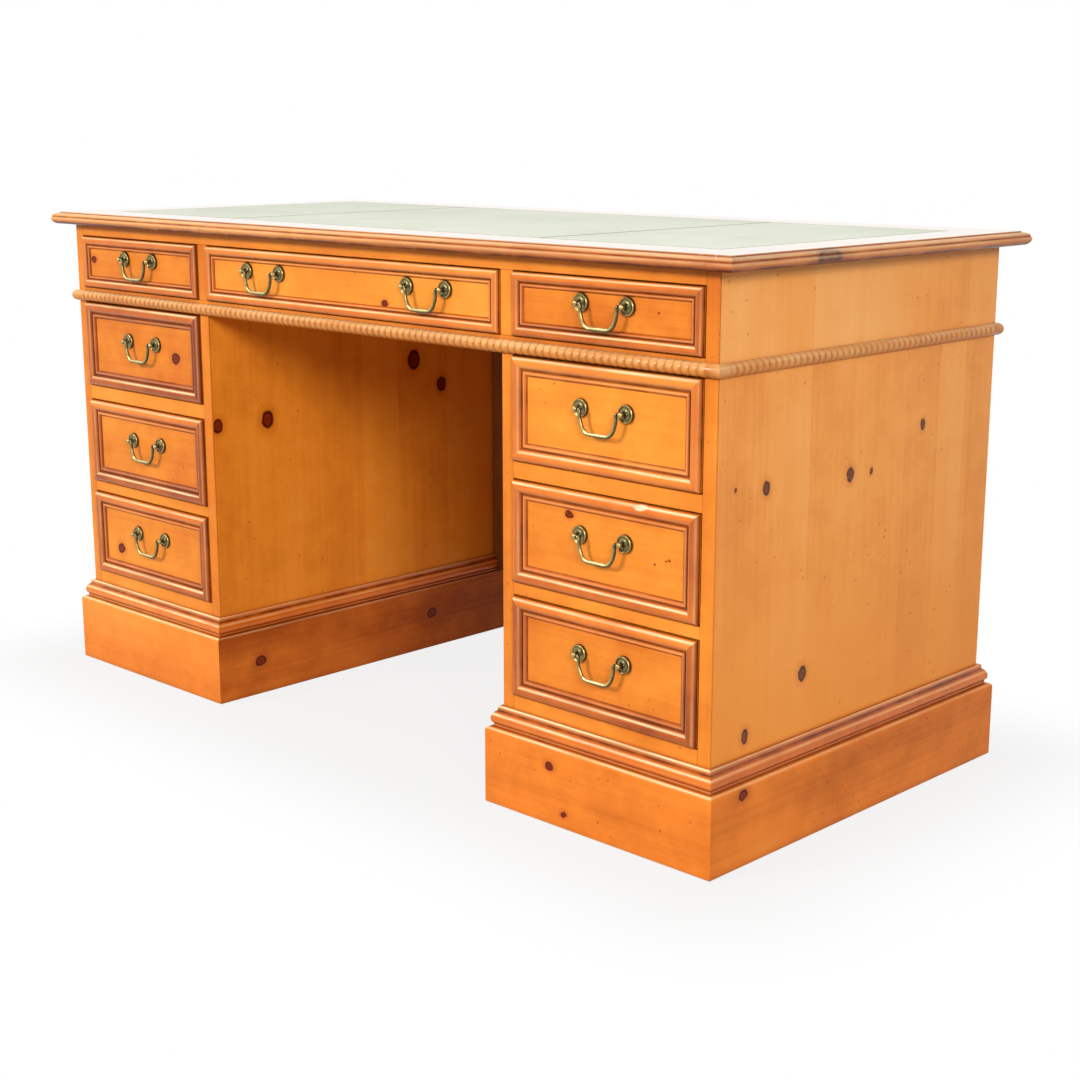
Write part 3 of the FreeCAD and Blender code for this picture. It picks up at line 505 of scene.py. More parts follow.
def tube(count, around):
    """Faces that join rings of points, with so many points round each ring, and close both ends."""
    faces = []
    for first in range(0, count - around, around):
        second = first + around
        for step in range(around):
            after = (step + 1) % around
            faces.append([first + step, first + after, second + after, second + step])
    return faces + [list(range(around)), list(range(count - around, count))]


class Shape:
    """Boards, mouldings and turned pieces gathered into one mesh, with the grain's place at each point."""

    def __init__(self, name):
        self.name = name
        self.points = []
        self.faces = []
        self.paint = []
        self.values = {"grain": [], "tone": [], "wear": [], "glaze": []}
        self.rng = random.Random(name)

    def add(self, points, faces, grain=None, wear=None, glaze=None, tone=None, matrix=None, paint=None):
        """Adds points and faces; the grain's places default to the points and are shifted piece by piece."""
        base = len(self.points)
        shift = Vector([self.rng.uniform(0, GRAIN_SHIFT) for _ in range(3)])
        tone = self.rng.uniform(-1, 1) if tone is None else tone
        count = len(points)
        self.points += [matrix @ Vector(point) if matrix else Vector(point) for point in points]
        self.faces += [[base + corner for corner in face] for face in faces]
        self.paint += paint or [0] * len(faces)
        self.values["grain"] += [Vector(place) + shift for place in (grain or points)]
        self.values["tone"] += [tone] * count
        self.values["wear"] += wear or [0.0] * count
        self.values["glaze"] += glaze or [0.0] * count

    def board(self, low, high, along=None, chamfer=BOARD_CHAMFER, tone=None, paint=0):
        """Board with small chamfers; the grain runs along its longest side unless told."""
        low, high = Vector(low), Vector(high)
        size = high - low
        order = sorted(range(3), key=lambda axis: -size[axis])
        if along is not None:
            order.remove(along)
            order.insert(0, along)
        inset = min(chamfer, min(size) * CHAMFER_LIMIT)
        corners = list(itertools.product((0, 1), repeat=3))
        index, points = {}, []
        for corner in corners:
            for flat in range(3):
                index[corner, flat] = len(points)
                point = []
                for axis, end in enumerate(corner):
                    edge = (low, high)[end][axis]
                    point.append(edge if axis == flat else edge + (inset if end == 0 else -inset))
                points.append(point)

        def corner_at(ends):
            return tuple(ends[axis] for axis in range(3))

        faces = []
        for flat in range(3):
            one, two = [axis for axis in range(3) if axis != flat]
            for end in (0, 1):
                loop = [corner_at({flat: end, one: first, two: second}) for first, second in SQUARE]
                faces.append([index[corner, flat] for corner in loop])
            for first, second in itertools.product((0, 1), repeat=2):
                start, stop = [corner_at({flat: end, one: first, two: second}) for end in (0, 1)]
                faces.append([index[start, one], index[stop, one], index[stop, two], index[start, two]])
        faces += [[index[corner, flat] for flat in range(3)] for corner in corners]
        grain = [[point[axis] for axis in order] for point in points]
        self.add(points, faces, grain, tone=tone, paint=[paint] * len(faces))

    def staves(self, low, high, across, widths, tones=()):
        """Panel glued up from upright staves of different tone."""
        start, end = low[across], high[across]
        total = sum(widths)
        for number, width in enumerate(widths):
            stop = start + (high[across] - low[across]) * width / total
            one, two = list(low), list(high)
            one[across], two[across] = start, min(stop, end)
            tone = tones[number] if tones else None
            self.board(one, two, along=2, chamfer=STAVE_CHAMFER, tone=tone)
            start = stop

    def strip(self, section, length, splay, matrix, tone=None, paint=None):
        """Mitred length of moulding.

        section lists (width, height, rubbing and painted highlight, glazing and painted shade) round its
        outline, in millimetres. splay is 1 where the length grows outward and -1 where it shrinks.
        """
        points, wear, glaze = [], [], []
        for end in (-1, 1):
            for across, up, rub_and_highlight, dark in section:
                points.append((end * (length / 2 + splay * across * MM), across * MM, up * MM))
                wear.append(rub_and_highlight)
                glaze.append(dark)
        faces = tube(len(points), len(section))
        self.add(points, faces, wear=wear, glaze=glaze, tone=tone, matrix=matrix, paint=paint)

    def lathe(self, outline, matrix, sides=28):
        """Turned about local Z.

        outline lists (radius, height, rubbing and painted highlight) in millimetres, from the axis to the
        axis.
        """
        points, wear, faces = [], [], []
        rings = []
        for radius, height, rub_and_highlight in outline:
            ring = []
            for step in range(sides if radius > 0 else 1):
                angle = 2 * math.pi * step / sides
                ring.append(len(points))
                points.append((radius * MM * math.cos(angle), radius * MM * math.sin(angle), height * MM))
                wear.append(rub_and_highlight)
            rings.append(ring)
        for lower, upper in zip(rings, rings[1:]):
            for step in range(sides):
                after = (step + 1) % sides
                face = [lower[step % len(lower)], lower[after % len(lower)]]
                face += [upper[after % len(upper)], upper[step % len(upper)]]
                faces.append(list(dict.fromkeys(face)))
        self.add(points, faces, wear=wear, matrix=matrix)

    def rod(self, path, matrix, rubbed_and_lit_side, sides=12):
        """Round bar along a path in its own XZ plane, brighter on one side of it with rubbing and painted
        highlight.

        path lists (x, z, radius, rubbing and painted highlight) in millimetres.
        """
        points, wear = [], []
        for i, (x, z, radius, rub_and_highlight) in enumerate(path):
            before, after = path[max(i - 1, 0)], path[min(i + 1, len(path) - 1)]
            along = Vector((after[0] - before[0], 0, after[1] - before[1])).normalized()
            out = Vector((along.z, 0, -along.x))
            for step in range(sides):
                angle = 2 * math.pi * step / sides
                offset = out * math.cos(angle) + Vector((0, 1, 0)) * math.sin(angle)
                points.append(tuple((Vector((x, 0, z)) + offset * radius) * MM))
                # Painted highlight with rubbing, strongest on the side of the bar that faces the light
                turned_to_side = max(0.0, offset.dot(rubbed_and_lit_side))
                wear.append(rub_and_highlight * (SHELTERED_AND_UNLIT_RUB + (1 - SHELTERED_AND_UNLIT_RUB) * turned_to_side))
        self.add(points, tube(len(points), sides), wear=wear, matrix=matrix)

    def finish(self, materials, body, replaced=(), smooth=None):
        """Makes the object, which rides on a body and stands for the CAD nodes named."""
        mesh = bpy.data.meshes.new(self.name)
        mesh.from_pydata([tuple(point) for point in self.points], [], self.faces)
        for name, values in self.values.items():
            if name == "grain":
                layer = mesh.attributes.new(name, "FLOAT_VECTOR", "POINT")
                layer.data.foreach_set("vector", [part for value in values for part in value])
            else:
                layer = mesh.attributes.new(name, "FLOAT", "POINT")
                layer.data.foreach_set("value", values)
        mesh.polygons.foreach_set("material_index", self.paint)
        work = bmesh.new()
        work.from_mesh(mesh)
        bmesh.ops.recalc_face_normals(work, faces=work.faces)
        work.to_mesh(mesh)
        work.free()
        if smooth:
            mesh.shade_smooth()
            mesh.set_sharp_from_angle(angle=math.radians(smooth))
        for material in materials if isinstance(materials, tuple) else (materials,):
            mesh.materials.append(material)
        item = bpy.data.objects.new(self.name, mesh)
        bpy.context.scene.collection.objects.link(item)
        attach(item, body)
        if replaced:
            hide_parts(*replaced)
        return item


def solids(node):
    """Boxes round the separate solids of a CAD node, each as its lowest and highest corner.

    A node's faces come solid by solid, and a solid is whole where each of its edges has met its neighbour.
    """
    mesh = frame["nodes"][node].data
    places = [tuple(round(part, 6) for part in v.co) for v in mesh.vertices]
    boxes, group, unmet = [], [], set()
    for polygon in mesh.polygons:
        loop = [places[v] for v in polygon.vertices]
        group += loop
        for one, two in zip(loop, loop[1:] + loop[:1]):
            if one != two:
                unmet ^= {frozenset((one, two))}
        if not unmet:
            boxes.append(tuple(tuple(pick(part) for part in zip(*group)) for pick in (min, max)))
            group = []
    return sorted(boxes)


def arc(centre, radius, start, end, steps):
    """Places along a round part of a section, from one angle to another in degrees."""
    found = []
    for step in range(steps + 1):
        angle = math.radians(start + (end - start) * step / steps)
        found.append((centre[0] + radius * math.cos(angle), centre[1] + radius * math.sin(angle)))
    return found


def sides_of(across, along):
    """Length and middle of the near, right, far and left side of a rectangle."""
    (left, right), (near, far) = across, along
    middle, halfway = (left + right) / 2, (near + far) / 2
    wide, deep = right - left, far - near
    return [(wide, middle, near), (deep, right, halfway), (wide, middle, far), (deep, left, halfway)]


def runs_in_plan(x_span, y_span, z, outward):
    """Length and place of the front, right, back and left of a rectangle in plan, for mouldings on them."""
    for (length, x, y), angle in zip(sides_of(x_span, y_span), (180, 270, 0, 90)):
        turn = Matrix.Rotation(math.radians(angle if outward else angle + 180), 4, "Z")
        yield length, Matrix.Translation((x, y, z)) @ turn


def runs_on_front(x_span, z_span, y):
    """Length and place of the bottom, right, top and left of a rectangle on a front face, for its inside."""
    upright = Matrix.Rotation(math.radians(90), 4, "X")
    for (length, x, z), angle in zip(sides_of(x_span, z_span), (0, 90, 180, 270)):
        turn = Matrix.Rotation(math.radians(-angle), 4, "Y")
        yield length, Matrix.Translation((x, y, z)) @ turn @ upright


# Carcass

FACING, FACING_TONE, BACK_TONE, RAIL_TONE, TONGUE_TONE = 0.003, 1.0, 0.2, 0.2, 0.1
INNER_STAVES = [150, 68, 88, 80, 116, 114]
INNER_TONES = [0.1, -0.2, 0.3, 0.0, 0.4, 0.2]
OUTER_STAVES = [112, 74, 96, 118, 82, 64, 70]
OUTER_TONES = [0.2, -0.5, 0.1, -0.2, 0.5, -0.6, 0.3]
# The frieze ends are lighter than the pedestal sides: a painted sheen along with the boards' tone
FRIEZE_END_TONES_AND_SHEEN = [-1.6, -1.2, -2.2, -1.6, -0.8, -0.4, -0.8]
BACK_STAVES = [92, 70, 84, 70]
MODESTY_STAVES = [96, 120, 88, 110, 104, 128]
# Half width and foot of each step of the tongue, which is cut round the plinth moulding, in metres
TONGUE_STEPS = [(0.3080, 0.1090), (0.3125, 0.1295), (0.3152, 0.1315)]
TONGUE_CHAMFER = 0.0001


def plain_boards(node, material, along=None, tone=None):
    """One board for each solid of a node."""
    shape = Shape(f"{node}_boards")
    for low, high in solids(node):
        shape.board(low, high, along, tone=tone)
    return shape.finish(material, "desk", [node])


def faced(shape, low, high, widths, tones=(), back_paint=0):
    """Side of a case in upright staves, with a thin facing down its front edge and down its back edge."""
    front, back = low[1] + FACING, high[1] - FACING
    shape.board(low, (high[0], front, high[2]), along=2, tone=FACING_TONE, paint=1)
    shape.staves((low[0], front, low[2]), (high[0], back, high[2]), 1, widths, tones)
    shape.board((low[0], back, low[2]), high, along=2, tone=BACK_TONE, paint=back_paint)


plain_boards("frieze_back", CASE)
plain_boards("frieze_rails", FRONT, tone=FACING_TONE)
plain_boards("frieze_dividers", FRONT, along=2, tone=FACING_TONE)
for node in ("frieze_runners_and_kickers", "pedestal_bottoms", "pedestal_drawer_runners"):
    plain_boards(node, INSIDE)
ground = plain_boards("top_panel", INSIDE)
for hand in HANDS:
    plain_boards(f"{hand}_pedestal_rails", FRONT, tone=RAIL_TONE)
    outer = Shape(f"{hand}_pedestal_outer_side_staves")
    faced(outer, *solids(f"{hand}_pedestal_outer_side")[0], OUTER_STAVES, OUTER_TONES)
    outer.finish((CASE, FRONT), "desk", [f"{hand}_pedestal_outer_side"])
    inner = Shape(f"{hand}_pedestal_inner_side_staves")
    faced(inner, *solids(f"{hand}_pedestal_inner_side")[0], INNER_STAVES, INNER_TONES, back_paint=2)
    inner.finish((INNER, FRONT, CASE), "desk", [f"{hand}_pedestal_inner_side"])
ends = Shape("frieze_end_staves")
for low, high in solids("frieze_ends"):
    faced(ends, low, high, OUTER_STAVES, FRIEZE_END_TONES_AND_SHEEN)
ends.finish((CASE, FRONT), "desk", ["frieze_ends"])
backs = Shape("pedestal_back_staves")
for low, high in solids("pedestal_backs"):
    backs.staves(low, high, 0, BACK_STAVES)
backs.finish(CASE, "desk", ["pedestal_backs"])
modesty = Shape("modesty_panel_staves")
low, high = solids("modesty_panel")[0]
modesty.staves(low, high, 0, MODESTY_STAVES)
tongue_tops = [foot for _, foot in TONGUE_STEPS[1:]] + [low[2]]
for (half, foot), top in zip(TONGUE_STEPS, tongue_tops):
    one, two = (-half, low[1], foot), (half, high[1], top)
    modesty.board(one, two, along=2, chamfer=TONGUE_CHAMFER, tone=TONGUE_TONE)
modesty.finish(SHADED, "desk", ["modesty_panel"])
blocks = Shape("plinth_glue_blocks")
solid = frame["nodes"]["plinth_corner_blocks"].data
blocks.add([tuple(v.co) for v in solid.vertices], [list(p.vertices) for p in solid.polygons])
blocks.finish(INSIDE, "desk", ["plinth_corner_blocks"])

# Top

TOP_WIDE, TOP_THICK = 82.0, 19.0
# Sections list (width, height, rubbing and painted highlight, glazing and painted shade), in millimetres
TOP_FLAT = [
    (TOP_WIDE, 0, 0, 0), (TOP_WIDE, TOP_THICK, 0, 0.3), (TOP_WIDE - 1, TOP_THICK, 0, 0),
    (13.5, TOP_THICK, 0, 0), (11.8, TOP_THICK, 0.3, 0),
]
# The edge's lip and nose are lightened with painted highlights and rubbing; its quirks are darkened with
# glazing and painted shade, and its underside as painted shadow under the overhang
TOP_EDGE = [
    (11.1, 18.6, 0.6, 0), (11.0, 17.3, 0, 0.75), (10.2, 17.1, 0, 0.55), (8.4, 17.0, 0.3, 0),
    (5.8, 16.4, 0.8, 0), (3.6, 15.2, 0.9, 0), (2.2, 13.8, 0.5, 0), (1.6, 12.6, 0, 0.3), (1.8, 11.7, 0, 0.8),
    (1.5, 11.0, 0, 0.8), (0.7, 10.3, 0.2, 0.2), (0.15, 9.3, 0.6, 0), (0.0, 8.0, 0.5, 0), (0.3, 6.4, 0.1, 0),
    (1.2, 4.4, 0, 0.3), (2.8, 2.2, 0, 1.0), (6, 0, 0, 1.4),
]
# The flat takes the first material, and the edge, the underside and the ends take the second
TOP_PAINT = [0] * (len(TOP_FLAT) - 1) + [1] * (len(TOP_EDGE) + 1) + [1, 1]

low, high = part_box("top_border")
border = Shape("top_border_boards")
for length, matrix in runs_in_plan((low.x, high.x), (low.y, high.y), low.z, outward=False):
    border.strip(TOP_FLAT + TOP_EDGE, length, -1, matrix, paint=TOP_PAINT)
border.finish((TOP, EDGE), "desk", ["top_border"], smooth=MOULDING_CREASE)

HEM = 0.0034
# Rings of the hem as (share of its width, drop in metres, darkening), from its outer edge inward
HEM_RINGS = [(0.0, 0.0007, 1.0), (0.3, 0.0, 1.0), (0.7, 0.0, 0.9), (1.0, 0.0, 0.0)]


def lay_hide(name, low, high):
    """Leather panel with a thin, dark, rounded hem, laid on the top panel."""
    x_ends, y_ends = (low[0], high[0]), (low[1], high[1])
    rings = [(0.0, low[2], 1.0)]
    rings += [(HEM * share, high[2] - drop, dark) for share, drop, dark in HEM_RINGS]
    points, glaze = [], []
    for inset, z, dark in rings:
        for i, j in SQUARE:
            x = x_ends[i] + (-inset if i else inset)
            y = y_ends[j] + (-inset if j else inset)
            points.append((x, y, z))
            glaze.append(dark)
    hide = Shape(f"{name}_leather_panel")
    hide.add(points, tube(len(points), len(SQUARE)), glaze=glaze)
    laid = hide.finish(LEATHER, "desk", ["leather_panels"])


for name, (low, high) in zip(("left", "middle", "right"), solids("leather_panels")):
    lay_hide(name, low, high)

# Bead at the waist, ribbed across, in millimetres

BEAD_RADIUS, RIB_PITCH, PLAIN_END = 9.0, 12.6, 13.0
RIB_STEPS = (0.0, 0.12, 0.28, 0.5, 0.72, 0.88)
RIB_ROUND, RIB_DEPTH = 0.97, 0.12
BEAD_STEPS, BEAD_TONE = 10, -0.4
# The ribs run out towards the bead's upper edge
FILLET_SHARE, FILLET_START, FILLET_RUN = 0.75, 0.35, 0.3
# Painted highlight with rubbing on the upper side of each rib's crest, and glazing with painted shade in the
# valleys between the ribs
CREST_START, CREST_WEAR_AND_HIGHLIGHT, CREST_LEAN = 0.7, 3.0, 0.5
VALLEY_GLAZE_AND_SHADE, VALLEY_TOP, VALLEY_FALL = 0.45, 1.15, 1.25


def rib_stations(ribbed):
    """Places along the ribbed part with how far out the ribs stand there, from nearly 0 to 1."""
    count = round(ribbed / RIB_PITCH)
    pitch = ribbed / count
    for rib in range(count):
        for step in RIB_STEPS:
            lobe = math.sqrt(1 - RIB_ROUND * (2 * step - 1) ** 2)
            yield -ribbed / 2 + (rib + step) * pitch, lobe
    yield ribbed / 2, 1.0


def ribbed_bead(shape, length, matrix):
    """Half-round bead with ribs across it, plain for a short way at each mitre."""
    ribbed = length / MM - 2 * PLAIN_END
    stations = [(None, 1.0), *rib_stations(ribbed), (None, 1.0)]
    points, wear, glaze = [], [], []
    around = BEAD_STEPS + 1
    for number, (along, lobe) in enumerate(stations):
        for step in range(around):
            angle = math.pi * (step / BEAD_STEPS - 0.5)
            fillet = FILLET_SHARE * max(0.0, min(1.0, (math.sin(angle) - FILLET_START) / FILLET_RUN))
            cut = lobe + (1 - lobe) * fillet
            radius = BEAD_RADIUS * (1 - RIB_DEPTH + RIB_DEPTH * cut)
            inside = 0 < step < BEAD_STEPS
            across = radius * math.cos(angle) if inside else 0.0
            up = BEAD_RADIUS + (radius if inside else BEAD_RADIUS) * math.sin(angle)
            mitre = (-1 if number == 0 else 1) * (length / MM / 2 + across)
            points.append(((mitre if along is None else along) * MM, across * MM, up * MM))
            # Painted highlight on the upper crests, painted shade with glazing in the valleys
            wear.append(max(0.0, cut - CREST_START) * CREST_WEAR_AND_HIGHLIGHT * max(0.0, math.sin(angle + CREST_LEAN)))
            glaze.append(VALLEY_GLAZE_AND_SHADE * max(0.0, VALLEY_TOP - cut * VALLEY_FALL))
    faces = tube(len(points), around)
    shape.add(points, faces, wear=wear, glaze=glaze, tone=BEAD_TONE, matrix=matrix)


low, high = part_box("waist_bead")
reach = BEAD_RADIUS * MM
x_span, y_span = (low.x + reach, high.x - reach), (low.y + reach, high.y - reach)
bead = Shape("waist_bead_ribbed")
for length, matrix in runs_in_plan(x_span, y_span, low.z, outward=True):
    ribbed_bead(bead, length, matrix)
bead.finish(BEAD, "desk", ["waist_bead"], smooth=BEAD_CREASE)

# Plinths, with sections that list (width, height, rubbing and painted highlight, glazing and painted shade)
# in millimetres

PLINTH_DEEP, PLINTH_HIGH, PLINTH_ROUND = 18.0, 108.0, 5.0
# Tones of the front, right, back and left runs; the runs that face into the kneehole are darker as painted
# shade
PLINTH_TONES_AND_SHADE = {"left": (-0.1, 1.2, 0.2, -0.2), "right": (0.1, 0.3, 0.1, 1.0)}
# Share of the painted highlight and rubbing that the front, right, back and left runs keep, most on the
# front, and its spread round the top arris
SIDE_WEAR_AND_HIGHLIGHT = (1.0, 0.45, 0.6, 0.6)
ARRIS_WEAR_AND_HIGHLIGHT = (0, 0, 0.3, 0.9, 0.8, 0.2, 0)
ARRIS_CENTRE = (PLINTH_DEEP - PLINTH_ROUND, PLINTH_HIGH - PLINTH_ROUND)
ARRIS = arc(ARRIS_CENTRE, PLINTH_ROUND, 0, 90, len(ARRIS_WEAR_AND_HIGHLIGHT) - 1)
# Painted highlight with rubbing round the top arris; glazing and painted shade at the foot and under the
# moulding
PLINTH_SECTION = [
    (0, 0, 0, 0), (PLINTH_DEEP - 0.8, 0, 0, 0.3), (PLINTH_DEEP, 0.8, 0.2, 0), (PLINTH_DEEP, 2.4, 0, 0),
    (PLINTH_DEEP, PLINTH_HIGH - PLINTH_ROUND - 6, 0, 0),
    *[(across, up, rub_and_highlight, 0) for (across, up), rub_and_highlight in zip(ARRIS, ARRIS_WEAR_AND_HIGHLIGHT)],
    (PLINTH_DEEP - 7, PLINTH_HIGH, 0, 0.6), (0, PLINTH_HIGH, 0, 0),
]
# Painted highlights with rubbing on the fillet's top and the roll's upper shoulder; glazing and painted shade
# in the quirks
FOOT_SECTION = [
    (0, 0, 0, 0), (8.8, 0, 0, 0.5), (9.5, 0.6, 0, 0.3), (9.5, 3.4, 0.1, 0.2), (9.1, 4.2, 0, 0.8),
    (9.3, 5.0, 0, 0.8), (10.4, 5.6, 0, 0.3), (11.6, 6.8, 0, 0), (12.3, 8.6, 0, 0), (12.5, 10.6, 0.1, 0),
    (12.4, 12.8, 0, 0), (11.9, 15.2, 0, 0), (11.4, 16.6, 0.5, 0), (10.7, 17.9, 1.0, 0), (9.9, 19.1, 0.4, 0),
    (9.3, 19.9, 0, 0.1), (8.0, 21.2, 0, 0.5), (6.8, 22.0, 0, 0.8), (6.0, 22.5, 0, 0.9), (5.4, 22.9, 0, 0.9),
    (5.5, 23.8, 0, 0.5), (5.5, 26.8, 0.2, 0), (5.3, 28.0, 0.9, 0), (4.6, 28.8, 1.0, 0), (3.8, 29, 0.6, 0),
    (0, 29, 0, 0.5),
]


def less_worn_and_lit(section, share):
    return [(across, up, rub_and_highlight * share, dark) for across, up, rub_and_highlight, dark in section]


feet = Shape("plinth_mouldings_run")
for hand in HANDS:
    low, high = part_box(f"{hand}_plinth")
    proud = PLINTH_DEEP * MM
    x_span, y_span = (low.x + proud, high.x - proud), (low.y + proud, high.y - proud)
    plinth = Shape(f"{hand}_plinth_boards")
    runs = runs_in_plan(x_span, y_span, low.z, outward=True)
    for (length, matrix), tone, share in zip(runs, PLINTH_TONES_AND_SHADE[hand], SIDE_WEAR_AND_HIGHLIGHT):
        plinth.strip(less_worn_and_lit(PLINTH_SECTION, share), length, 1, matrix, tone)
    plinth.finish(PLINTH, "desk", [f"{hand}_plinth"], smooth=MOULDING_CREASE)
    runs = runs_in_plan(x_span, y_span, high.z, outward=True)
    for (length, matrix), share in zip(runs, SIDE_WEAR_AND_HIGHLIGHT):
        feet.strip(less_worn_and_lit(FOOT_SECTION, share), length, 1, matrix)
feet.finish(FOOT, "desk", ["plinth_mouldings"], smooth=MOULDING_CREASE)

# Drawer fronts

FRONT_TONES = {
    "frieze_left": 0.7, "frieze_centre": 0.1, "frieze_right": 0.8, "left_upper": 1.8, "left_middle": 1.1,
    "left_lower": 0.9, "right_upper": 0.0, "right_middle": 0.4, "right_lower": 1.0,
}
# Tone, and rubbing with painted highlight on the outer and inner shoulder, for the bottom, right, top and
# left of a frame; the shoulders that face up take the most
FRAME_TONES, FRONT_TONE_SHARE = (0.0, 0.1, -0.6, 0.0), 0.8
FRAME_RUBS_AND_HIGHLIGHTS = ((0.1, 1.0), (0.3, 0.2), (1.0, 0.1), (0.2, 0.3))
PEDESTAL_FRAME, FRIEZE_FRAME = 25.0, 19.0
FRAME_FOOT, ROLL_CHORD, ROLL_RISE, ROLL_STEPS = 3.0, 0.64, 0.3, 14
SHOULDER_AT, SHOULDER_REACH = 0.57, 0.27
# The roll's outer halves darken with glazing and painted shade, less where the painted highlight lies
ROLL_GLAZE_AND_SHADE, ROLL_SHADE_START = 1.1, 0.3
# The quirk and the small bead inside the roll, as (share of the width, height, rubbing and painted highlight,
# glazing and painted shade)
FRAME_BEAD = [
    (0.652, 3.0, 0, 0.5), (0.668, 1.6, 0, 0.9), (0.70, 1.3, 0, 0.8), (0.73, 2.2, 0, 0.3),
    (0.77, 3.2, 0.05, 0), (0.81, 3.75, 0.15, 0), (0.85, 3.7, 0.15, 0), (0.89, 3.1, 0.05, 0),
    (0.93, 2.1, 0, 0.3), (0.965, 1.1, 0, 0.7), (1.0, 0.6, 0, 0.8), (1.0, 0, 0, 0.8),
]


def frame_section(wide, rubbed_and_lit):
    """Planted moulding of a drawer: a broad roll, a quirk and a small bead.

    The second argument is how much rubbing and painted highlight the roll has on its outer and on its inner
    shoulder.
    """
    chord = ROLL_CHORD * wide
    radius = chord * (1 / (8 * ROLL_RISE) + ROLL_RISE / 2)
    half = math.degrees(math.asin(chord / 2 / radius))
    centre = (chord / 2, FRAME_FOOT + ROLL_RISE * chord - radius)
    roll = arc(centre, radius, 90 + half, 90 - half, ROLL_STEPS)
    # The outer foot is darkened as painted shade in the gap round the drawer
    found = [(0, 0, 0, 1), (0, FRAME_FOOT - 1.0, 0, 0.8)]
    for step, (across, up) in enumerate(roll):
        side = 2 * step / ROLL_STEPS - 1
        shoulder = max(0.0, 1 - abs(abs(side) - SHOULDER_AT) / SHOULDER_REACH)
        rub_and_highlight = rubbed_and_lit[side > 0]
        dark = max(0.0, abs(side) - ROLL_SHADE_START) * (ROLL_GLAZE_AND_SHADE - rub_and_highlight)
        found.append((across, up, shoulder * rub_and_highlight, dark))
    return found + [(share * wide, up, rub_and_highlight, dark) for share, up, rub_and_highlight, dark in FRAME_BEAD]


def dress_front(name):
    """Front board of a drawer and the moulding planted round it."""
    low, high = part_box(f"{name}_front")
    tone = FRONT_TONES[name.removesuffix("_drawer")]
    front = Shape(f"{name}_front_board")
    front.board((low.x, FACE, low.z), (high.x, high.y, high.z), along=0, tone=tone)
    front.finish(FRONT, name, [f"{name}_front"])
    planted = Shape(f"{name}_moulding")
    wide = FRIEZE_FRAME if name.startswith("frieze") else PEDESTAL_FRAME
    runs = runs_on_front((low.x, high.x), (low.z, high.z), FACE)
    for (length, matrix), side_tone, rubbed_and_lit in zip(runs, FRAME_TONES, FRAME_RUBS_AND_HIGHLIGHTS):
        section = frame_section(wide, rubbed_and_lit)
        planted.strip(section, length, -1, matrix, side_tone + FRONT_TONE_SHARE * tone)
    planted.finish(FRAME, name, [f"{name}_front"], smooth=MOULDING_CREASE)


def dress_box(name):
    """Sides, back and floor of a drawer."""
    box = Shape(f"{name}_box_boards")
    for low, high in solids(f"{name}_box"):
        box.board(low, high)
    box.finish(INSIDE, name, [f"{name}_box"])


# Pulls, in millimetres

# Rosette and post as (radius, height, rubbing and painted highlight), turned in one
ROSETTE = [
    (0, 0.0, 0), (12.0, 0.0, 0.1), (12.0, 2.0, 0.3), (11.8, 3.2, 0.45), (11.3, 4.1, 0.6), (10.6, 4.5, 0.6),
    (9.9, 4.2, 0.45), (9.3, 3.7, 0.35), (7.6, 3.4, 0.5), (5.6, 3.6, 0.5), (4.4, 4.1, 0.3), (3.5, 5.0, 0.2),
    (3.0, 6.2, 0.15), (2.8, 7.8, 0.2), (3.0, 8.7, 0.25), (3.4, 9.6, 0.3), (3.8, 10.8, 0.4), (3.9, 12.0, 0.5),
    (3.7, 13.3, 0.55), (3.0, 14.5, 0.6), (2.0, 15.1, 0.65), (1.0, 15.35, 0.65), (0, 15.4, 0.65),
]
NUT_HALF, NUT_HIGH, NUT_CHAMFER = 3.2, 5.0, 0.0005
# The side of a bail that faces the light, which takes the most painted highlight along with rubbing
RUBBED_AND_LIT_SIDE = Vector((-0.3, -0.5, 0.8)).normalized()
# Pin and knuckle at a bail's end as (x, z, radius, rubbing and painted highlight), then the places (x, z)
# that its bar bends through
BAIL_END = [
    (37.9, 0.0, 1.45, 0.1), (32.9, 0.0, 1.45, 0.1), (32.7, 0.0, 2.3, 0.4), (31.7, -0.2, 2.6, 0.6),
    (30.75, -1.2, 2.6, 0.6),
]
BAIL_BENDS = [
    (30.2, -4.5), (29.9, -11.0), (27.6, -18.5), (23.6, -25.4), (17.4, -29.4), (9.0, -29.9), (0.0, -29.9),
]
BEND_STEPS = 4
# Thin and thick radius of the bar, and its share of rubbing and painted highlight at the ends, rising to full
# at the grip
BAR_THIN, BAR_THICK, BAR_RUB_AND_HIGHLIGHT = 2.5, 3.0, 0.85


def curve_point(before, one, two, after, share):
    """Point on a smooth curve from one to two that heads as its neighbours lie."""
    square, cube = share ** 2, share ** 3
    bend = (2 * before - 5 * one + 4 * two - after) * square + (3 * one - before - 3 * two + after) * cube
    return (2 * one + (two - before) * share + bend) / 2


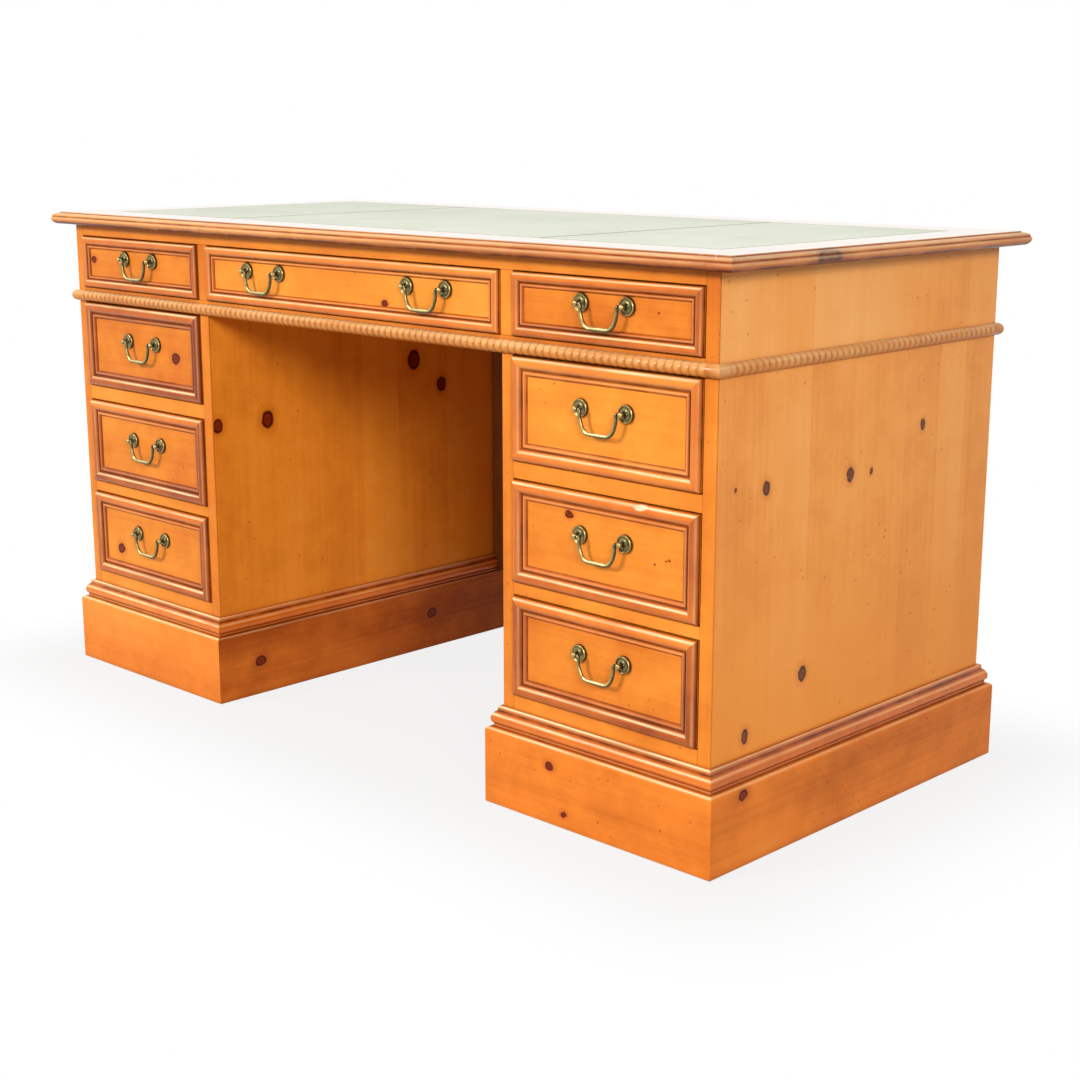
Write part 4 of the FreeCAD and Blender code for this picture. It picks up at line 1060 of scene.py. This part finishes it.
def bail_path():
    """Points along a swan-neck bail from one pin to the other, as (x, z, radius, rubbing and painted
    highlight).
    """
    half = list(BAIL_END)
    bends = [Vector(bend) for bend in BAIL_BENDS]
    for number, (one, two) in enumerate(zip(bends, bends[1:])):
        before = bends[max(number - 1, 0)]
        after = bends[number + 2] if number + 2 < len(bends) else Vector((-one.x, one.y))
        for step in range(BEND_STEPS):
            share = step / BEND_STEPS
            place = curve_point(before, one, two, after, share)
            along = (number + share) / (len(bends) - 1)
            radius = BAR_THIN + (BAR_THICK - BAR_THIN) * along ** 2
            half.append((place.x, place.y, radius, BAR_RUB_AND_HIGHLIGHT + (1 - BAR_RUB_AND_HIGHLIGHT) * along))
    middle = [(bends[-1].x, bends[-1].y, BAR_THICK, 1.0)]
    return half + middle + [(-x, z, radius, rub_and_highlight) for x, z, radius, rub_and_highlight in reversed(half)]


BAIL = bail_path()


def dress_pulls(name):
    """Posts, nuts and bails of a drawer's pulls."""
    node = f"{name}_pull_posts"
    inner_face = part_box(f"{name}_front")[1].y
    out = Matrix.Rotation(math.radians(90), 4, "X")
    half = Vector((NUT_HALF, 0, NUT_HALF)) * MM
    posts = Shape(f"{node}_cast")
    nuts = Shape(f"{name}_pull_nuts")
    for low, high in solids(node):
        centre = (Vector(low) + Vector(high)) / 2
        if low[1] < FACE:
            posts.lathe(ROSETTE, Matrix.Translation((centre.x, FACE, centre.z)) @ out)
        else:
            foot = Vector((centre.x, inner_face, centre.z))
            nuts.board(foot - half, foot + half + Vector((0, NUT_HIGH * MM, 0)), chamfer=NUT_CHAMFER)
    posts.finish(BRASS, name, [node], smooth=MOULDING_CREASE)
    nuts.finish(BRASS, name)
    for bail in [body for body in frame["bodies"] if body.startswith(name) and body.endswith("bail")]:
        pivot = next(Vector(joint["pos_m"]) for joint in frame["joints"] if joint["child"] == bail)
        bar = Shape(f"{bail}_swan_neck")
        bar.rod(BAIL, Matrix.Translation(pivot), RUBBED_AND_LIT_SIDE)
        bar.finish(BRASS, bail, [bail], smooth=BAR_CREASE)


for name in DRAWERS:
    dress_front(name)
    dress_box(name)
    dress_pulls(name)

# Studio

WORLD_LIGHT = 0.3
FLOOR_HALF, FLOOR_SINK, FLOOR_GREY = 9.0, 0.0003, srgb(172, 168, 162)
# The floor is white to the camera away from the desk and keeps some of its shadow near it
DESK_HALF, WHITE_REACH, WHITE_LEAST = (0.69, 0.32, 0), 0.3, 0.85
# Name, place, aim and size in metres, and power in watts
SOFTBOXES = [
    ("front_softbox", (-3.4, -7.9, 4.4), (0, -0.2, 0.4), (2.0, 1.8), 520),
    ("side_softbox", (4.6, -3.3, 2.5), (0.1, 0, 0.35), (1.7, 1.4), 196),
    ("top_softbox", (0.2, -0.6, 3.2), (0.1, 0, 0.6), (2.4, 1.6), 22),
]
CAMERA_PLACE, CAMERA_TURN = (2.00829, -1.97551, 0.91693), (76.956, 0, 44.144)
CAMERA_LENS, CAMERA_SENSOR = 61.097, 36

scene = bpy.context.scene
scene.view_settings.view_transform = "Standard"


def white_to_camera(tree, lit, shown, output):
    """Shows one shader to the camera and in reflections, and lights the object with another."""
    path = tree.nodes.new("ShaderNodeLightPath")
    seen = path.outputs["Is Camera Ray"]
    for ray in ("Is Glossy Ray", "Is Transmission Ray"):
        either = tree.nodes.new("ShaderNodeMath")
        either.operation = "MAXIMUM"
        tree.links.new(seen, either.inputs[0])
        tree.links.new(path.outputs[ray], either.inputs[1])
        seen = either.outputs[0]
    mixer = tree.nodes.new("ShaderNodeMixShader")
    tree.links.new(seen, mixer.inputs["Fac"])
    tree.links.new(lit, mixer.inputs[1])
    tree.links.new(shown, mixer.inputs[2])
    tree.links.new(mixer.outputs[0], tree.nodes[output].inputs["Surface"])


def light_world():
    """Even white surroundings."""
    world = bpy.data.worlds.new("studio")
    scene.world = world
    world.use_nodes = True
    tree = world.node_tree
    soft = tree.nodes["Background"]
    plain = tree.nodes.new("ShaderNodeBackground")
    for background, strength in ((soft, WORLD_LIGHT), (plain, 1.0)):
        background.inputs["Color"].default_value = (1, 1, 1, 1)
        background.inputs["Strength"].default_value = strength
    white_to_camera(tree, soft.outputs[0], plain.outputs[0], "World Output")


def floor_material():
    """Pale floor that turns white away from the desk."""
    sh = Shader("pale_floor")
    sh.surface(Base_Color=FLOOR_GREY, Roughness=0.7)
    outside = sh.vector("SUBTRACT", sh.vector("ABSOLUTE", sh.place()), DESK_HALF)
    away = sh.vector("LENGTH", sh.vector("MAXIMUM", outside))
    whiteness = sh.span(away, 0.0, WHITE_REACH, WHITE_LEAST, 1.0)
    glow = sh.node("ShaderNodeEmission", {"Strength": 1.0})
    inputs = {"Fac": whiteness, 1: sh.principled.outputs[0], 2: glow.outputs[0]}
    share = sh.node("ShaderNodeMixShader", inputs)
    white_to_camera(sh.tree, sh.principled.outputs[0], share.outputs[0], "Material Output")
    return sh.material


def softbox(name, place, aim, size, power):
    data = bpy.data.lights.new(name, "AREA")
    data.shape = "RECTANGLE"
    data.size, data.size_y = size
    data.energy = power
    lamp = bpy.data.objects.new(name, data)
    lamp.location = place
    lamp.rotation_euler = (Vector(aim) - Vector(place)).to_track_quat("-Z", "Y").to_euler()
    scene.collection.objects.link(lamp)


light_world()
floor_mesh = bpy.data.meshes.new("studio_floor")
floor_corners = [(x * FLOOR_HALF, y * FLOOR_HALF, 0) for x, y in ((-1, -1), (1, -1), (1, 1), (-1, 1))]
floor_mesh.from_pydata(floor_corners, [], [[0, 1, 2, 3]])
floor = bpy.data.objects.new("studio_floor", floor_mesh)
floor.location.z = -FLOOR_SINK
scene.collection.objects.link(floor)
floor_mesh.materials.append(floor_material())
for box in SOFTBOXES:
    softbox(*box)

camera_data = bpy.data.cameras.new("photo_camera")
camera_data.lens = CAMERA_LENS
camera_data.sensor_width = CAMERA_SENSOR
camera = bpy.data.objects.new("photo_camera", camera_data)
camera.location = CAMERA_PLACE
camera.rotation_euler = [math.radians(angle) for angle in CAMERA_TURN]
scene.collection.objects.link(camera)
scene.camera = camera
